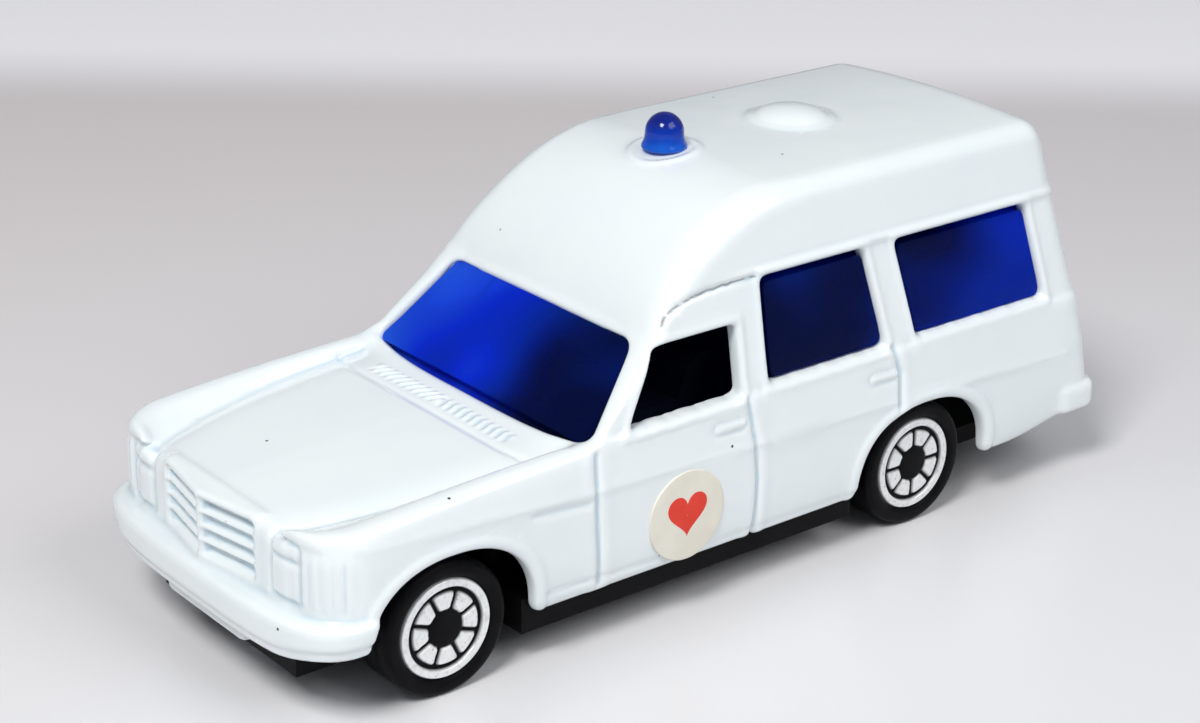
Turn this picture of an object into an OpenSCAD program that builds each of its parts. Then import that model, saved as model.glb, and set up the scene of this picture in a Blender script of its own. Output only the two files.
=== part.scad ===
// Toy ambulance: a small die-cast estate car with a raised roof, a plastic base, blue glazing,
// free-running wheelsets and a top-hinged tailgate.
// Millimetres. +X is forward, +Y is the car's left, +Z is up. The origin is on the ground,
// in the middle of the car's length and width.

/* [Overall] */
// Distance between the two axles
wheelbase = 45; // [42:0.25:48]
// Front axle to the face of the front bumper
front_overhang = 12.3; // [11.5:0.1:13.5]
// Rear axle to the face of the rear bumper
rear_overhang = 21; // [20:0.1:22.5]
// Width of the body at its widest
body_w = 29; // [28:0.25:31]
// Height of the roof on the centre line
roof_z = 30.5; // [29:0.25:32]
// Height of the shoulder below the side windows
belt_z = 15.6; // [15:0.1:16.2]
// Height of the body's lower edge between the wheels
sill_z = 4.2; // [3.8:0.1:4.6]
// Thickness of the casting
wall = 1.2; // [1:0.05:1.4]

/* [Nose] */
// Bumper face back to the flat of the front panel
nose_setback = 1.95; // [1.6:0.05:2.4]
// Body side in to the flat of the nose
nose_corner_w = 4.3; // [3.6:0.1:4.8]
// Length over which the front corners turn into the sides
nose_turn = 4; // [3.4:0.1:4.6]
// Height of the bonnet's front edge
bonnet_front_z = 13.7; // [13.2:0.1:14.2]
// Height of the bonnet at the windscreen
bonnet_rear_z = 15.2; // [14.6:0.1:15.6]
// Height of the front wings at the lamps
wing_front_z = 14.3; // [13.8:0.1:14.8]
// How far the edge of the bonnet's raised panel turns in at the nose
panel_turn = 3.9; // [3.2:0.1:4.6]
// Body side in to the edge of the bonnet's raised panel
panel_in = 4.6; // [4.2:0.1:5.4]
// Body side in to the valley beside a wing
valley_in = 2.15; // [2.1:0.05:2.6]
// How far the valley turns in at the nose
valley_turn = 4.3; // [3.6:0.1:5]
// Drop from the raised panel into the valley beside it
panel_drop = 0.5; // [0.3:0.05:0.7]
// Height of the crease along the front wing at the lamps
crease_front_z = 13.4; // [12.8:0.1:13.8]
// Height of the crease along the rear quarter
crease_rear_z = 11.4; // [10.8:0.1:12]

/* [Bumpers] */
// Reach of the front bumper past each side of the body
bumper_out = 0.6; // [0.3:0.05:1.1]
// Reach of the rear bumper past each side of the body
rear_bumper_out = 0.3; // [0:0.05:0.9]
// Height of the front bumper's middle
bumper_z = 7; // [6.7:0.1:7.2]
// Depth of the bumper bar from top to bottom
bumper_h = 2.8; // [2.4:0.1:3.2]
// Height of the rear bumper's middle
rear_bumper_z = 6.1; // [5.8:0.1:6.5]
// Bumper face back to the ends of the front bumper
bumper_wrap = 5.9; // [5:0.1:6.4]
// Width of the bare number-plate panel under the bumper
plate_w = 10.4; // [9:0.2:12]
// Lower edge of the number-plate panel
plate_low_z = 4; // [3.6:0.1:4.4]

/* [Grille and lamps] */
// Width of the grille
grille_w = 11.5; // [10.5:0.1:12.5]
// Lower edge of the grille
grille_low_z = 8.9; // [8.5:0.1:9.3]
// Upper edge of the grille
grille_high_z = 13.3; // [12.9:0.1:13.5]
// How far the middle of the grille stands ahead of its sides
grille_point = 1; // [0.6:0.1:1.3]
// Number of slots on each side of the grille's middle bar
grille_slots = 4; // [3:1:5]
// Depth of the grille slots
slot_depth = 0.55; // [0.4:0.05:0.8]
// Width of a headlamp
lamp_w = 2.5; // [2:0.1:2.6]
// Gap from a lamp to the turn of the nose
lamp_edge = 0.1; // [0:0.05:0.3]
// Lower edge of the headlamps
lamp_low_z = 9.2; // [8.9:0.1:9.5]
// Height of the main headlamp lens
lamp_h = 2.6; // [2.2:0.1:2.8]
// Height of the small lens above it
small_lamp_h = 1.1; // [0.8:0.1:1.2]
// Number of flutes on each wrapped corner lamp
lamp_flutes = 5; // [3:1:7]
// Diameter of one flute
flute_d = 0.8; // [0.6:0.05:0.9]
// Number of louvres in the air intake below the windscreen
louvres = 20; // [12:1:24]
// Width of the row of louvres
louvre_row_w = 17; // [15:0.5:18.5]

/* [Cabin] */
// Front axle back to the foot of the windscreen
screen_back = 11.7; // [11:0.1:12.5]
// Windscreen's lean from upright, degrees
screen_lean = 45; // [42:0.5:48]
// Height of the top of the windscreen, as a share of the way from the shoulder to the roof
header_share = 0.423; // [0.38:0.001:0.46]
// Length from the header back to where the roof runs level
roof_rise_len = 13.2; // [12:0.2:15]
// Body side in to the cabin's foot
cabin_in = 0.6; // [0.4:0.05:0.9]
// Body side in to the cabin at the gutter
gutter_in = 2.2; // [1.8:0.05:2.6]
// Body side in to the side of the roof
roof_in = 3.1; // [2.7:0.05:3.5]
// Height of the rain gutter, as a share of the same way
gutter_share = 0.57; // [0.54:0.001:0.6]
// Thickness of the rain gutter lip
gutter_d = 0.5; // [0.4:0.05:0.7]
// Radius along the side of the roof
roof_edge_r = 1.7; // [1.2:0.1:2]
// Radius along the side of the roof where it rises at the front
roof_front_r = 3; // [2:0.1:3.2]
// Fall of the roof from the centre line to its edges
roof_crown = 0.4; // [0.2:0.05:0.6]
// Rear bumper face to the tail panel, at the shoulder
tail_setback = 2.75; // [2.5:0.05:3.2]
// Tail panel's lean from upright, degrees
tail_lean = 13; // [11:0.5:14]
// Radius of the tail's corners
tail_r = 2.4; // [1.8:0.1:2.8]

/* [Windows] */
// Lower edge of the side windows
window_low_z = 16.2; // [15.9:0.1:16.6]
// Height of the top of the front door window, as a share of the same way
door_window_share = 0.369; // [0.32:0.001:0.4]
// Height of the top of the other side windows, as a share of the same way
window_share = 0.53; // [0.48:0.001:0.54]
// Front axle back to the rear edge of the front door's window
door_window_rear = 26; // [25.4:0.1:26.6]
// Front axle back to the front edge of the middle window
mid_window_front = 29.2; // [28.6:0.1:29.8]
// Length of the middle window along its lower edge
mid_window_l = 11.6; // [10.5:0.1:12]
// Front axle back to the lower front corner of the rear window
rear_window_front = 44.3; // [43.9:0.1:45]
// Length of the rear window along its lower edge
rear_window_l = 14.1; // [13:0.1:14.6]
// Lean of the rear window posts, along the car per unit of height
post_lean = 0.21; // [0.15:0.01:0.25]
// Front axle back to the lower front corner of the front door's window
door_window_front = 16.2; // [15.9:0.1:17]
// Lean of the front door window's front edge, along the car per unit of height
door_window_lean = 0.62; // [0.55:0.01:0.7]
// Gap between the raised panes and the edges of their openings
pane_gap = 0.1; // [0.06:0.01:0.15]
// Depth of the raised panes below the outside of the casting
pane_in = 0.4; // [0.3:0.05:0.6]
// Radius of the window corners
window_r = 0.7; // [0.4:0.05:0.9]
// Body side in to the foot of the windscreen opening
screen_low_in = 1.5; // [1.3:0.05:2]
// Body side in to the top of the windscreen opening
screen_high_in = 3.9; // [3.5:0.05:4.4]
// Thickness of the glazing
glass_t = 0.9; // [0.7:0.05:1.1]
// Gap between the glazing and the casting
glass_gap = 0.12; // [0.08:0.01:0.2]

/* [Doors] */
// Front axle back to the front edge of the front door
door_front = 12.2; // [11.8:0.1:12.8]
// Front axle back to the line between the doors
door_mid = 27; // [26.8:0.1:27.6]
// Front axle back to the rear edge of the rear door
door_rear = 42.6; // [42.2:0.1:43]
// Width and depth of the lines round the doors
line_w = 0.3; // [0.2:0.05:0.4]
// Length of a door handle
handle_l = 3.4; // [3:0.1:3.8]
// Height of a door handle's middle
handle_z = 14.1; // [13.8:0.1:14.4]

/* [Wheels] */
// Outside diameter of the tyres
tyre_d = 10.16; // [9.6:0.04:10.4]
// Width of a wheel
tyre_w = 4.2; // [3.6:0.1:4.4]
// Body side in to the outer face of a wheel
wheel_in = 1; // [0.7:0.05:1.5]
// Outside diameter of the silver ring
ring_d = 7.42; // [7:0.02:7.8]
// Inside diameter of the silver ring
ring_inner_d = 5.94; // [5.7:0.02:6.2]
// Outside diameter of the silver pads
pad_outer_d = 5.6; // [5.3:0.02:5.66]
// Diameter of the plain hub inside the pads
hub_d = 2.9; // [2.5:0.02:3.2]
// Number of silver pads round the hub
pads = 8; // [6:1:10]
// Width of the dark spokes between the pads
spoke_w = 0.5; // [0.3:0.02:0.7]
// Height of the ring and pads above the wheel's face
pad_h = 0.2; // [0.1:0.02:0.3]
// Diameter of an axle
axle_d = 1.2; // [1:0.02:1.4]
// Running clearance round an axle, on its radius
axle_gap = 0.05; // [0.03:0.01:0.08]
// Room between the tyre and the top of the front wheel arch
front_arch_gap = 0.92; // [0.7:0.02:1.3]
// Room between the tyre and the top of the rear wheel arch
rear_arch_gap = 0.52; // [0.4:0.02:0.9]
// Room between the tyre and the ends of its wheel arch
arch_end_gap = 1.82; // [1.4:0.02:2.2]

/* [Base and inside] */
// Height of the base's underside
base_z = 2.4; // [2.1:0.1:2.7]
// Thickness of the base
base_t = 1.5; // [1.2:0.1:1.7]
// Gap between the base and the casting
base_gap = 0.15; // [0.1:0.01:0.25]
// Diameter of the posts that hold the base
post_d = 3; // [2.6:0.1:3.3]
// Diameter of the spread heads of the posts
post_head_d = 4.4; // [4:0.1:4.8]
// Thickness of the spread heads
post_head_t = 0.6; // [0.4:0.05:0.8]
// Room between the tyres and the cabin floor
floor_room = 0.84; // [0.6:0.02:1.2]
// Thickness of the cabin floor
floor_t = 0.9; // [0.7:0.1:1.2]
// Height of the seat backs
seat_back_z = 17.4; // [16.6:0.1:18.2]
// Width of one front seat
seat_w = 8; // [7:0.1:8.6]

/* [Tailgate] */
// Body side in to the side of the tailgate
gate_in = 4.3; // [4:0.05:4.8]
// Height of the tailgate's lower edge
gate_low_z = 9.6; // [9:0.1:10]
// Height of the tailgate's hinge, as a share of the way from the shoulder to the roof
gate_hinge_share = 0.59; // [0.57:0.001:0.62]
// Thickness of the tailgate
gate_t = 1.4; // [1.2:0.05:1.6]
// Gap round the tailgate
gate_gap = 0.2; // [0.15:0.01:0.3]
// Diameter of the hinge pins
gate_pin_d = 0.7; // [0.6:0.02:0.8]
// Length of each hinge pin
gate_pin_l = 0.8; // [0.6:0.05:1]

/* [Roof fittings] */
// Front axle back to the beacon
beacon_back = 29.85; // [29:0.1:31]
// Diameter of the beacon's dome
beacon_d = 3; // [2.6:0.05:3.3]
// Height of the beacon above the roof
beacon_h = 3; // [2.6:0.05:3.3]
// Diameter of the beacon's foot
beacon_foot_d = 3.7; // [3.4:0.05:4]
// Outside diameter of the raised ring round the beacon
beacon_ring_d = 5.3; // [4.8:0.05:5.8]
// Diameter of the stem that holds the beacon in the roof
beacon_stem_d = 2; // [1.6:0.05:2.2]
// Front axle back to the roof vent
vent_back = 42.75; // [42:0.1:44]
// Diameter of the roof vent's dome
vent_d = 5.2; // [4.6:0.05:5.8]
// Outside diameter of the flange round the vent
vent_ring_d = 7; // [6.4:0.05:7.6]
// Height of the vent above the roof
vent_h = 1.1; // [0.8:0.05:1.4]

/* [Labels] */
// Diameter of the round door labels
label_d = 7; // [6.4:0.05:7.2]
// Height of a label's middle
label_z = 8.2; // [7.9:0.05:8.6]
// Front axle back to a label's middle
label_back = 20.45; // [19:0.1:21.5]
// Thickness of a label
label_t = 0.12; // [0.1:0.01:0.16]

/* [Hidden] */
$fn = 32;
// Overlap that makes pieces of one casting run into each other
bite = 0.6;
// Reach of cutting tools past what they cut
reach = 20;

// Widths across the car
nose_face_w = body_w - 2 * nose_corner_w;
bumper_w = body_w + 2 * bumper_out;
rear_bumper_w = body_w + 2 * rear_bumper_out;
lamp_in = nose_face_w / 2 - lamp_w - lamp_edge;
cabin_w = body_w - 2 * cabin_in;
gutter_w = body_w - 2 * gutter_in;
roof_w = body_w - 2 * roof_in;
screen_low_w = body_w - 2 * screen_low_in;
screen_high_w = body_w - 2 * screen_high_in;
track_w = body_w - 2 * wheel_in;
gate_w = body_w - 2 * gate_in;

// Heights of the cabin
cabin_h = roof_z - belt_z;
header_z = belt_z + header_share * cabin_h;
gutter_z = belt_z + gutter_share * cabin_h;
door_window_high_z = belt_z + door_window_share * cabin_h;
window_high_z = belt_z + window_share * cabin_h;
gate_hinge_z = belt_z + gate_hinge_share * cabin_h;

// Lengthways places
front_x = (wheelbase + front_overhang + rear_overhang) / 2;
front_axle_x = front_x - front_overhang;
rear_axle_x = front_axle_x - wheelbase;
nose_x = front_x - nose_setback;
tail_x = -front_x + tail_setback;
screen_x = front_axle_x - screen_back;
header_x = screen_x - (header_z - bonnet_rear_z) * tan(screen_lean);
roof_level_x = header_x - roof_rise_len;
axle_z = tyre_d / 2;
arch_half_l = tyre_d / 2 + arch_end_gap;
floor_z = tyre_d + floor_room;

// Blends between values
function mix(a, b, t) = a + (b - a) * t;
function limit(t) = max(0, min(1, t));
function ease(t) = let (u = limit(t)) u * u * (3 - 2 * u);
function between(x, x0, x1) = (x - x0) / (x1 - x0);
function corner(r, e) = e >= r ? 0 : r - sqrt(max(0, r * r - pow(r - e, 2)));
function bezier(a, b, c, d, t) =
    pow(1 - t, 3) * a + 3 * pow(1 - t, 2) * t * b + 3 * (1 - t) * t * t * c + t * t * t * d;
function unit(v) = v / norm(v);

// Whole outline from its left half, which runs from the bottom centre to the top centre
function both_sides(half) =
    concat(half, [for (i = [len(half) - 2:-1:1]) [-half[i][0], half[i][1]]]);

// Solid through a row of outlines with equal counts of points
module loft(rings) {
    n = len(rings[0]);
    m = len(rings);
    sides = [for (i = [0:m - 2], j = [0:n - 1])
        let (a = i * n + j, b = i * n + (j + 1) % n)
        each [[a, b, b + n], [a, b + n, a + n]]];
    last = (m - 1) * n;
    front_cap = [for (j = [1:n - 2]) [0, j + 1, j]];
    rear_cap = [for (j = [1:n - 2]) [last, last + j, last + j + 1]];
    polyhedron([for (r = rings) each r], concat(sides, front_cap, rear_cap));
}

// Lower body

// Cross-section sizes of the lower body
sill_tuck = 0.6;
sill_tuck_h = 1.3;
shoulder_in = 0.35;
shoulder_r = 0.5;
wing_r = 1.8;
valley_w = 0.3;
valley_run = 7.5;
panel_run = 5.5;
wing_fall = 1.7;
bonnet_fall = 1.35;
tail_rise = 1;
nose_rise = 1.7;
wing_blend = 1;
cowl_blend = 2;
// Share of the tail panel's lean at a place along the car
function lean_at(x) = tan(tail_lean) * ease(between(x, 0, tail_x));
function plan_half(x) =
    let (w = body_w / 2,
         front = limit(between(x, nose_x - nose_turn, nose_x)))
    mix(nose_face_w / 2, w, sqrt(1 - front * front)) - corner(tail_r, max(0, x - tail_x));
function sill_line(x) =
    sill_z + tail_rise * ease(between(x, rear_axle_x - arch_half_l, tail_x))
    + nose_rise * ease(between(x, front_axle_x + arch_half_l / 2, front_axle_x + arch_half_l));
function wing_z(x) =
    mix(belt_z, wing_front_z, pow(limit(between(x, screen_x - wing_blend, nose_x)), wing_fall));
function bonnet_z(x) =
    mix(bonnet_rear_z, bonnet_front_z, pow(limit(between(x, screen_x, nose_x)), bonnet_fall));
function crease_z(x) = mix(crease_rear_z, crease_front_z, limit(between(x, tail_x, nose_x)));
// Half widths of the bonnet's panel and of the valleys, which turn in towards the nose
function turned_in(x, run) = exp(-max(0, nose_x - x) / run);
function panel_half(x) = body_w / 2 - panel_in - panel_turn * turned_in(x, panel_run);
function valley_half(x) = body_w / 2 - valley_in - valley_turn * turned_in(x, valley_run);
function lower_half(x, inset, low_z) =
    let (w = plan_half(x) - inset,
         front = ease(between(x, screen_x - cowl_blend, screen_x + cowl_blend)),
         r = mix(shoulder_r, wing_r, front),
         top = wing_z(x) - inset,
         side = w - shoulder_in,
         valley = min(valley_half(x), side - r - valley_w),
         panel = min(panel_half(x), valley - valley_w),
         middle = mix(belt_z, bonnet_z(x), front) - inset,
         drop = panel_drop * front,
         crease = min(crease_z(x), top - r - sill_tuck / 3))
    [[0, low_z], [w - sill_tuck, low_z], [w - sill_tuck / 3, low_z + sill_tuck_h / 2],
     [w, low_z + 2 * sill_tuck_h], [w, crease], [side, top - r],
     for (a = [22.5, 45, 67.5]) [side - r + r * cos(a), top - r + r * sin(a)],
     [side - r, top], [valley, min(top, middle) - drop],
     [panel, middle - drop / 3], [0, middle]];
function lower_ring(x, inset, low_z) =
    [for (p = both_sides(lower_half(x, inset, low_z)))
        [x + lean_at(x) * (p[1] - belt_z), p[0], p[1]]];
nose_steps = [0, 0.06, 0.2, 0.45, 0.75, 1];
tail_steps = [1, 0.65, 0.35, 0.12, 0];
lower_steps = 18;
lower_stations =
    concat([nose_x + bite],
           [for (s = nose_steps) nose_x - nose_turn * s],
           [for (i = [1:lower_steps - 1])
               mix(nose_x - nose_turn, tail_x + tail_r, i / lower_steps)],
           [for (s = tail_steps) tail_x + tail_r * s]);
// Lower body, run on past the nose and cut off flat there
module lower_body(inset = 0) {
    difference() {
        loft([for (x = lower_stations) lower_ring(x, inset, sill_line(x) + inset)]);
        translate([nose_x, -reach, 0]) cube([reach, 2 * reach, reach]);
    }
}
// Hollow of the lower body, open below
nose_wall = 3.2;
tail_wall = 2.4;
hollow_low_z = -sill_z;
module lower_hollow() {
    x0 = nose_x - nose_wall;
    x1 = tail_x + tail_wall;
    loft([for (i = [0:lower_steps])
        lower_ring(mix(x0, x1, i / lower_steps), wall, hollow_low_z)]);
}

// Cabin

cabin_root = 1.2;
cabin_foot_z = belt_z - cabin_root;
hollow_join = 3;
header_pull = 6;
header_climb = 63;
level_pull = 0.42;
roof_front_steps = 9;
roof_steps = 4;
screen_steps = 3;
side_steps = 4;
least_edge_r = 0.3;
least_side_h = 0.1;
crown_share = 0.75;
edge_blend = 4;
// Roof and windscreen line, from the foot of the windscreen to the tail
function roof_line() =
    let (a = [header_x, header_z],
         b = a + header_pull * [-cos(header_climb), sin(header_climb)],
         d = [roof_level_x, roof_z],
         c = d + [roof_rise_len * level_pull, 0],
         rear_x = tail_x + tail_r)
    concat([for (i = [0:screen_steps - 1]) mix([screen_x, bonnet_rear_z], a, i / screen_steps)],
           [for (i = [0:roof_front_steps]) bezier(a, b, c, d, i / roof_front_steps)],
           [for (i = [1:roof_steps - 1]) [mix(roof_level_x, rear_x, i / roof_steps), roof_z]],
           [for (s = tail_steps) [tail_x + tail_r * s, roof_z]]);
function line_normal(line, i) =
    let (p = line[max(0, i - 1)], q = line[min(len(line) - 1, i + 1)], d = unit(p - q))
    [-d[1], d[0]];
// The same line moved inwards by the given depth
function roof_line_in(inset) =
    let (line = roof_line())
    [for (i = [0:len(line) - 1]) line[i] - inset * line_normal(line, i)];
function cabin_side(z) =
    lookup(z, [[belt_z, cabin_w / 2], [gutter_z, gutter_w / 2], [roof_z, roof_w / 2]]);
// Radius of the roof's edge at a place along the car
function edge_at(x) =
    mix(roof_edge_r, roof_front_r,
        ease(between(x, roof_level_x - edge_blend, roof_level_x + 2 * edge_blend)));
function cabin_ring(p, inset, foot_z) =
    let (back = corner(tail_r, max(0, p[0] - tail_x)),
         top = p[1] - roof_crown - back / 2,
         r = min(edge_at(p[0]), max(least_edge_r, (top - foot_z) / 4)),
         high = max(foot_z + least_side_h, top - r),
         side = [for (i = [0:side_steps]) let (z = mix(foot_z, high, i / side_steps))
                 [cabin_side(z) - inset - back, z]],
         s = side[side_steps],
         half = concat([[0, foot_z]], side,
             [for (a = [22.5, 45, 67.5, 90]) s + [r * cos(a) - r, r * sin(a)]],
             [[s[0] / 2, high + r + roof_crown * crown_share], [0, high + r + roof_crown]]))
    [for (q = both_sides(half)) [p[0] + lean_at(p[0]) * (q[1] - belt_z), q[0], q[1]]];
module cabin(inset = 0, foot_z = cabin_foot_z) {
    loft([for (p = roof_line_in(inset)) cabin_ring(p, inset, foot_z)]);
}

// Keeps only what lies ahead of the inside of the tail panel
module ahead_of_tail(depth) {
    intersection() {
        children();
        on_tail() translate([depth, -reach, -2 * reach])
            cube([5 * reach, 2 * reach, 4 * reach]);
    }
}
// Frame on the tail panel: X into the car, Z up the panel from the shoulder
module on_tail() {
    translate([tail_x, 0, belt_z]) rotate([0, tail_lean, 0]) children();
}
function up_tail(z) = (z - belt_z) / cos(tail_lean);

// Bumpers

bumper_power = 3.5;
bumper_steps = 24;
bumper_edge = 0.5;
// Rounded outline seen from above, with its face at x0 and its ends wrapped back by the given depth
function bumper_outline(x0, wrap, half, inset) =
    [for (i = [0:bumper_steps])
        let (t = -1 + 2 * i / bumper_steps,
             u = sign(t) * (1 - pow(1 - abs(t), 2)),
             back = 1 - pow(1 - pow(abs(u), bumper_power), 1 / bumper_power))
        [x0 - wrap * back - inset, u * (half - inset)]];
module bumper_slice(x0, wrap, w, inset, z, h) {
    translate([0, 0, z - h / 2]) linear_extrude(h)
        polygon(bumper_outline(x0, wrap, w / 2, inset));
}
module bumper_bar(x0, wrap, w, z) {
    hull() {
        bumper_slice(x0, wrap, w, 0, z, bumper_h - 2 * bumper_edge);
        bumper_slice(x0, wrap, w, bumper_edge, z, bumper_h);
    }
}
rear_bumper_wrap = 3.6;
plate_back = 1.1;
module bumpers() {
    bumper_bar(front_x, bumper_wrap, bumper_w, bumper_z);
    mirror([1, 0, 0]) bumper_bar(front_x, rear_bumper_wrap, rear_bumper_w, rear_bumper_z);
    translate([nose_x - bite, -plate_w / 2, plate_low_z])
        cube([nose_setback - plate_back + bite, plate_w, bumper_z - plate_low_z]);
}

// Front panel

grille_frame = 0.4;
slot_share = 0.68;
bar_w = 0.6;
function grille_x(y) = nose_x + grille_point * (1 - abs(y) / (grille_w / 2));
// Wedge with the grille's pointed outline, grown by the given amount
module grille_wedge(grow, z0, z1) {
    half = grille_w / 2 + grow;
    translate([0, 0, z0]) linear_extrude(z1 - z0)
        polygon([[nose_x - bite, -half], [nose_x + grow, -half], [nose_x + grille_point + grow, 0],
                 [nose_x + grow, half], [nose_x - bite, half]]);
}
module grille_block() {
    grille_wedge(grille_frame, grille_low_z - grille_frame, grille_high_z + grille_frame);
}
module grille_cuts() {
    pitch = (grille_high_z - grille_low_z) / grille_slots;
    y0 = bar_w / 2;
    y1 = grille_w / 2;
    for (i = [0:grille_slots - 1], side = [-1, 1]) {
        translate([0, 0, grille_low_z + pitch * (i + (1 - slot_share) / 2)])
            linear_extrude(pitch * slot_share)
                polygon([[grille_x(y0) - slot_depth, side * y0], [grille_x(y1) - slot_depth, side * y1],
                         [grille_x(y1) + bite, side * y1], [grille_x(y0) + bite, side * y0]]);
    }
}
lens_rise = 0.25;
lens_gap = 0.25;
flute_sink = 0.2;
module lamps() {
    for (side = [-1, 1]) {
        y0 = side > 0 ? lamp_in : -lamp_in - lamp_w;
        translate([nose_x - bite, y0, lamp_low_z]) cube([bite + lens_rise, lamp_w, lamp_h]);
        translate([nose_x - bite, y0, lamp_low_z + lamp_h + lens_gap])
            cube([bite + lens_rise, lamp_w, small_lamp_h]);
        for (i = [0:lamp_flutes - 1]) {
            angle = 90 * (i + 0.5) / lamp_flutes;
            x = nose_x - nose_turn * (1 - sin(angle)) - flute_sink;
            y = mix(nose_face_w, body_w, cos(angle)) / 2 - flute_sink;
            translate([x, side * y, lamp_low_z])
                cylinder(d = flute_d, h = lamp_h + lens_gap + small_lamp_h, $fn = 12);
        }
    }
}
tail_lamp_w = 2.6;
tail_lamp_h = 3.4;
tail_lamp_d = 1.4;
module tail_lamps() {
    low = rear_bumper_z + bumper_h / 2;
    for (side = [-1, 1]) {
        hull() {
            for (z = [low, low + tail_lamp_h], y = [0, tail_lamp_w]) {
                x = tail_x + tail_r + lean_at(tail_x) * (z - belt_z) - tail_lamp_d;
                translate([x, side * (body_w / 2 - tail_lamp_d - y), z])
                    sphere(d = 2 * tail_lamp_d, $fn = 16);
            }
        }
    }
}
louvre_l = 1.5;
louvre_turn = 25;
louvre_rise = 0.3;
louvre_back = 3;
module cowl_louvres() {
    pitch = louvre_row_w / louvres;
    x = screen_x + louvre_back;
    for (i = [0:louvres - 1]) {
        translate([x, -louvre_row_w / 2 + pitch * (i + 0.5), bonnet_z(x) - bite])
            rotate(louvre_turn) translate([-louvre_l / 2, -pitch / 4, 0])
                cube([louvre_l, pitch / 2, bite + louvre_rise]);
    }
}

// Sides

// Rain gutter: up the rear of the windscreen post, then level along the roof
gutter_rise = 0.3;
gutter_foot_back = 15.6;
gutter_knee_back = 19.8;
gutter_level_back = 22.6;
gutter_route = [[front_axle_x - gutter_foot_back, belt_z + gutter_d],
                [front_axle_x - gutter_knee_back, gutter_z - 2 * gutter_d],
                [front_axle_x - gutter_level_back, gutter_z],
                [tail_x + lean_at(tail_x) * (gutter_z - belt_z) + tail_r / 2, gutter_z]];
module gutter() {
    intersection() {
        cabin(-gutter_rise);
        translate([0, reach, 0]) rotate([90, 0, 0]) linear_extrude(2 * reach)
            polygon(concat(gutter_route, [for (i = [len(gutter_route) - 1:-1:0])
                gutter_route[i] - [gutter_d, gutter_d]]));
    }
}
handle_h = 0.9;
handle_rise = 0.35;
module handles() {
    for (x = [front_axle_x - door_mid + line_w, front_axle_x - door_rear + line_w], side = [-1, 1]) {
        translate([x + handle_h, side * (body_w / 2 - shoulder_in - bite), handle_z])
            rotate([side * -90, 0, 0]) linear_extrude(bite + handle_rise) {
                circle(d = handle_h);
                translate([0, -handle_h / 2]) square([handle_l - handle_h, handle_h]);
                translate([handle_l - handle_h, 0]) circle(d = handle_h);
            }
    }
}
// Grooves round the lower body, from the sill's tuck up to the shoulder
module door_lines() {
    low = sill_z + sill_tuck_h;
    intersection() {
        union() {
            for (x = [front_axle_x - door_front, front_axle_x - door_mid, front_axle_x - door_rear]) {
                difference() {
                    door_slice(x, line_w / 2, -line_w);
                    door_slice(x, line_w, line_w / 2);
                }
            }
        }
        translate([-3 * reach, -reach, low]) cube([6 * reach, 2 * reach, belt_z - line_w - low]);
    }
}
// Slice of the lower body that reaches the given length to each side of a place
module door_slice(x, side_l, inset) {
    loft([for (p = [x + side_l, x - side_l]) lower_ring(p, inset, sill_line(p) + inset)]);
}
module wheel_arches() {
    for (arch = [[front_axle_x, front_arch_gap], [rear_axle_x, rear_arch_gap]]) {
        rise = tyre_d / 2 + arch[1];
        translate([arch[0], 0, axle_z]) rotate([90, 0, 0]) scale([arch_half_l / rise, 1, 1])
            cylinder(r = rise, h = 2 * reach, center = true, $fn = 40);
        translate([arch[0] - arch_half_l, -reach, -reach])
            cube([2 * arch_half_l, 2 * reach, reach + axle_z]);
    }
}

// Window openings

function door_window() =
    let (x = front_axle_x - door_window_rear, front = front_axle_x - door_window_front,
         run = door_window_lean * (door_window_high_z - window_low_z))
    [[x, window_low_z], [front, window_low_z], [front - run, door_window_high_z], [x, door_window_high_z]];
// Window behind the front door, with its two upper corners moved forward by the given leans
function post_window(x, l, front_lean, rear_lean) =
    let (rise = window_high_z - window_low_z)
    [[x - l, window_low_z], [x, window_low_z], [x + front_lean * rise, window_high_z],
     [x - l + rear_lean * rise, window_high_z]];
mid_window = post_window(front_axle_x - mid_window_front, mid_window_l, 0, post_lean);
rear_window = post_window(front_axle_x - rear_window_front, rear_window_l, post_lean, post_lean);
module rounded(points, gap) {
    offset(window_r - gap) offset(-window_r) polygon(points);
}
module window_hole(points, gap = 0) {
    translate([0, reach, 0]) rotate([90, 0, 0]) linear_extrude(2 * reach) rounded(points, gap);
}
// Edges of the windscreen opening, measured up the screen from its foot
screen_low = 0.35;
screen_frame = 0.6;
screen_high = (header_z - bonnet_rear_z) / cos(screen_lean) - screen_frame;
module screen_hole(gap = 0) {
    translate([screen_x, 0, bonnet_rear_z]) rotate([0, -screen_lean, 0]) rotate([90, 0, 90])
        translate([0, 0, -reach / 4]) linear_extrude(reach / 2)
            rounded([[-screen_low_w / 2, screen_low], [screen_low_w / 2, screen_low],
                     [screen_high_w / 2, screen_high], [-screen_high_w / 2, screen_high]], gap);
}

// Tailgate opening and hinge

gate_corner_r = 1.2;
gate_axis = [gate_t / 2, up_tail(gate_hinge_z)];
pin_gap = 0.1;
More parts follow.
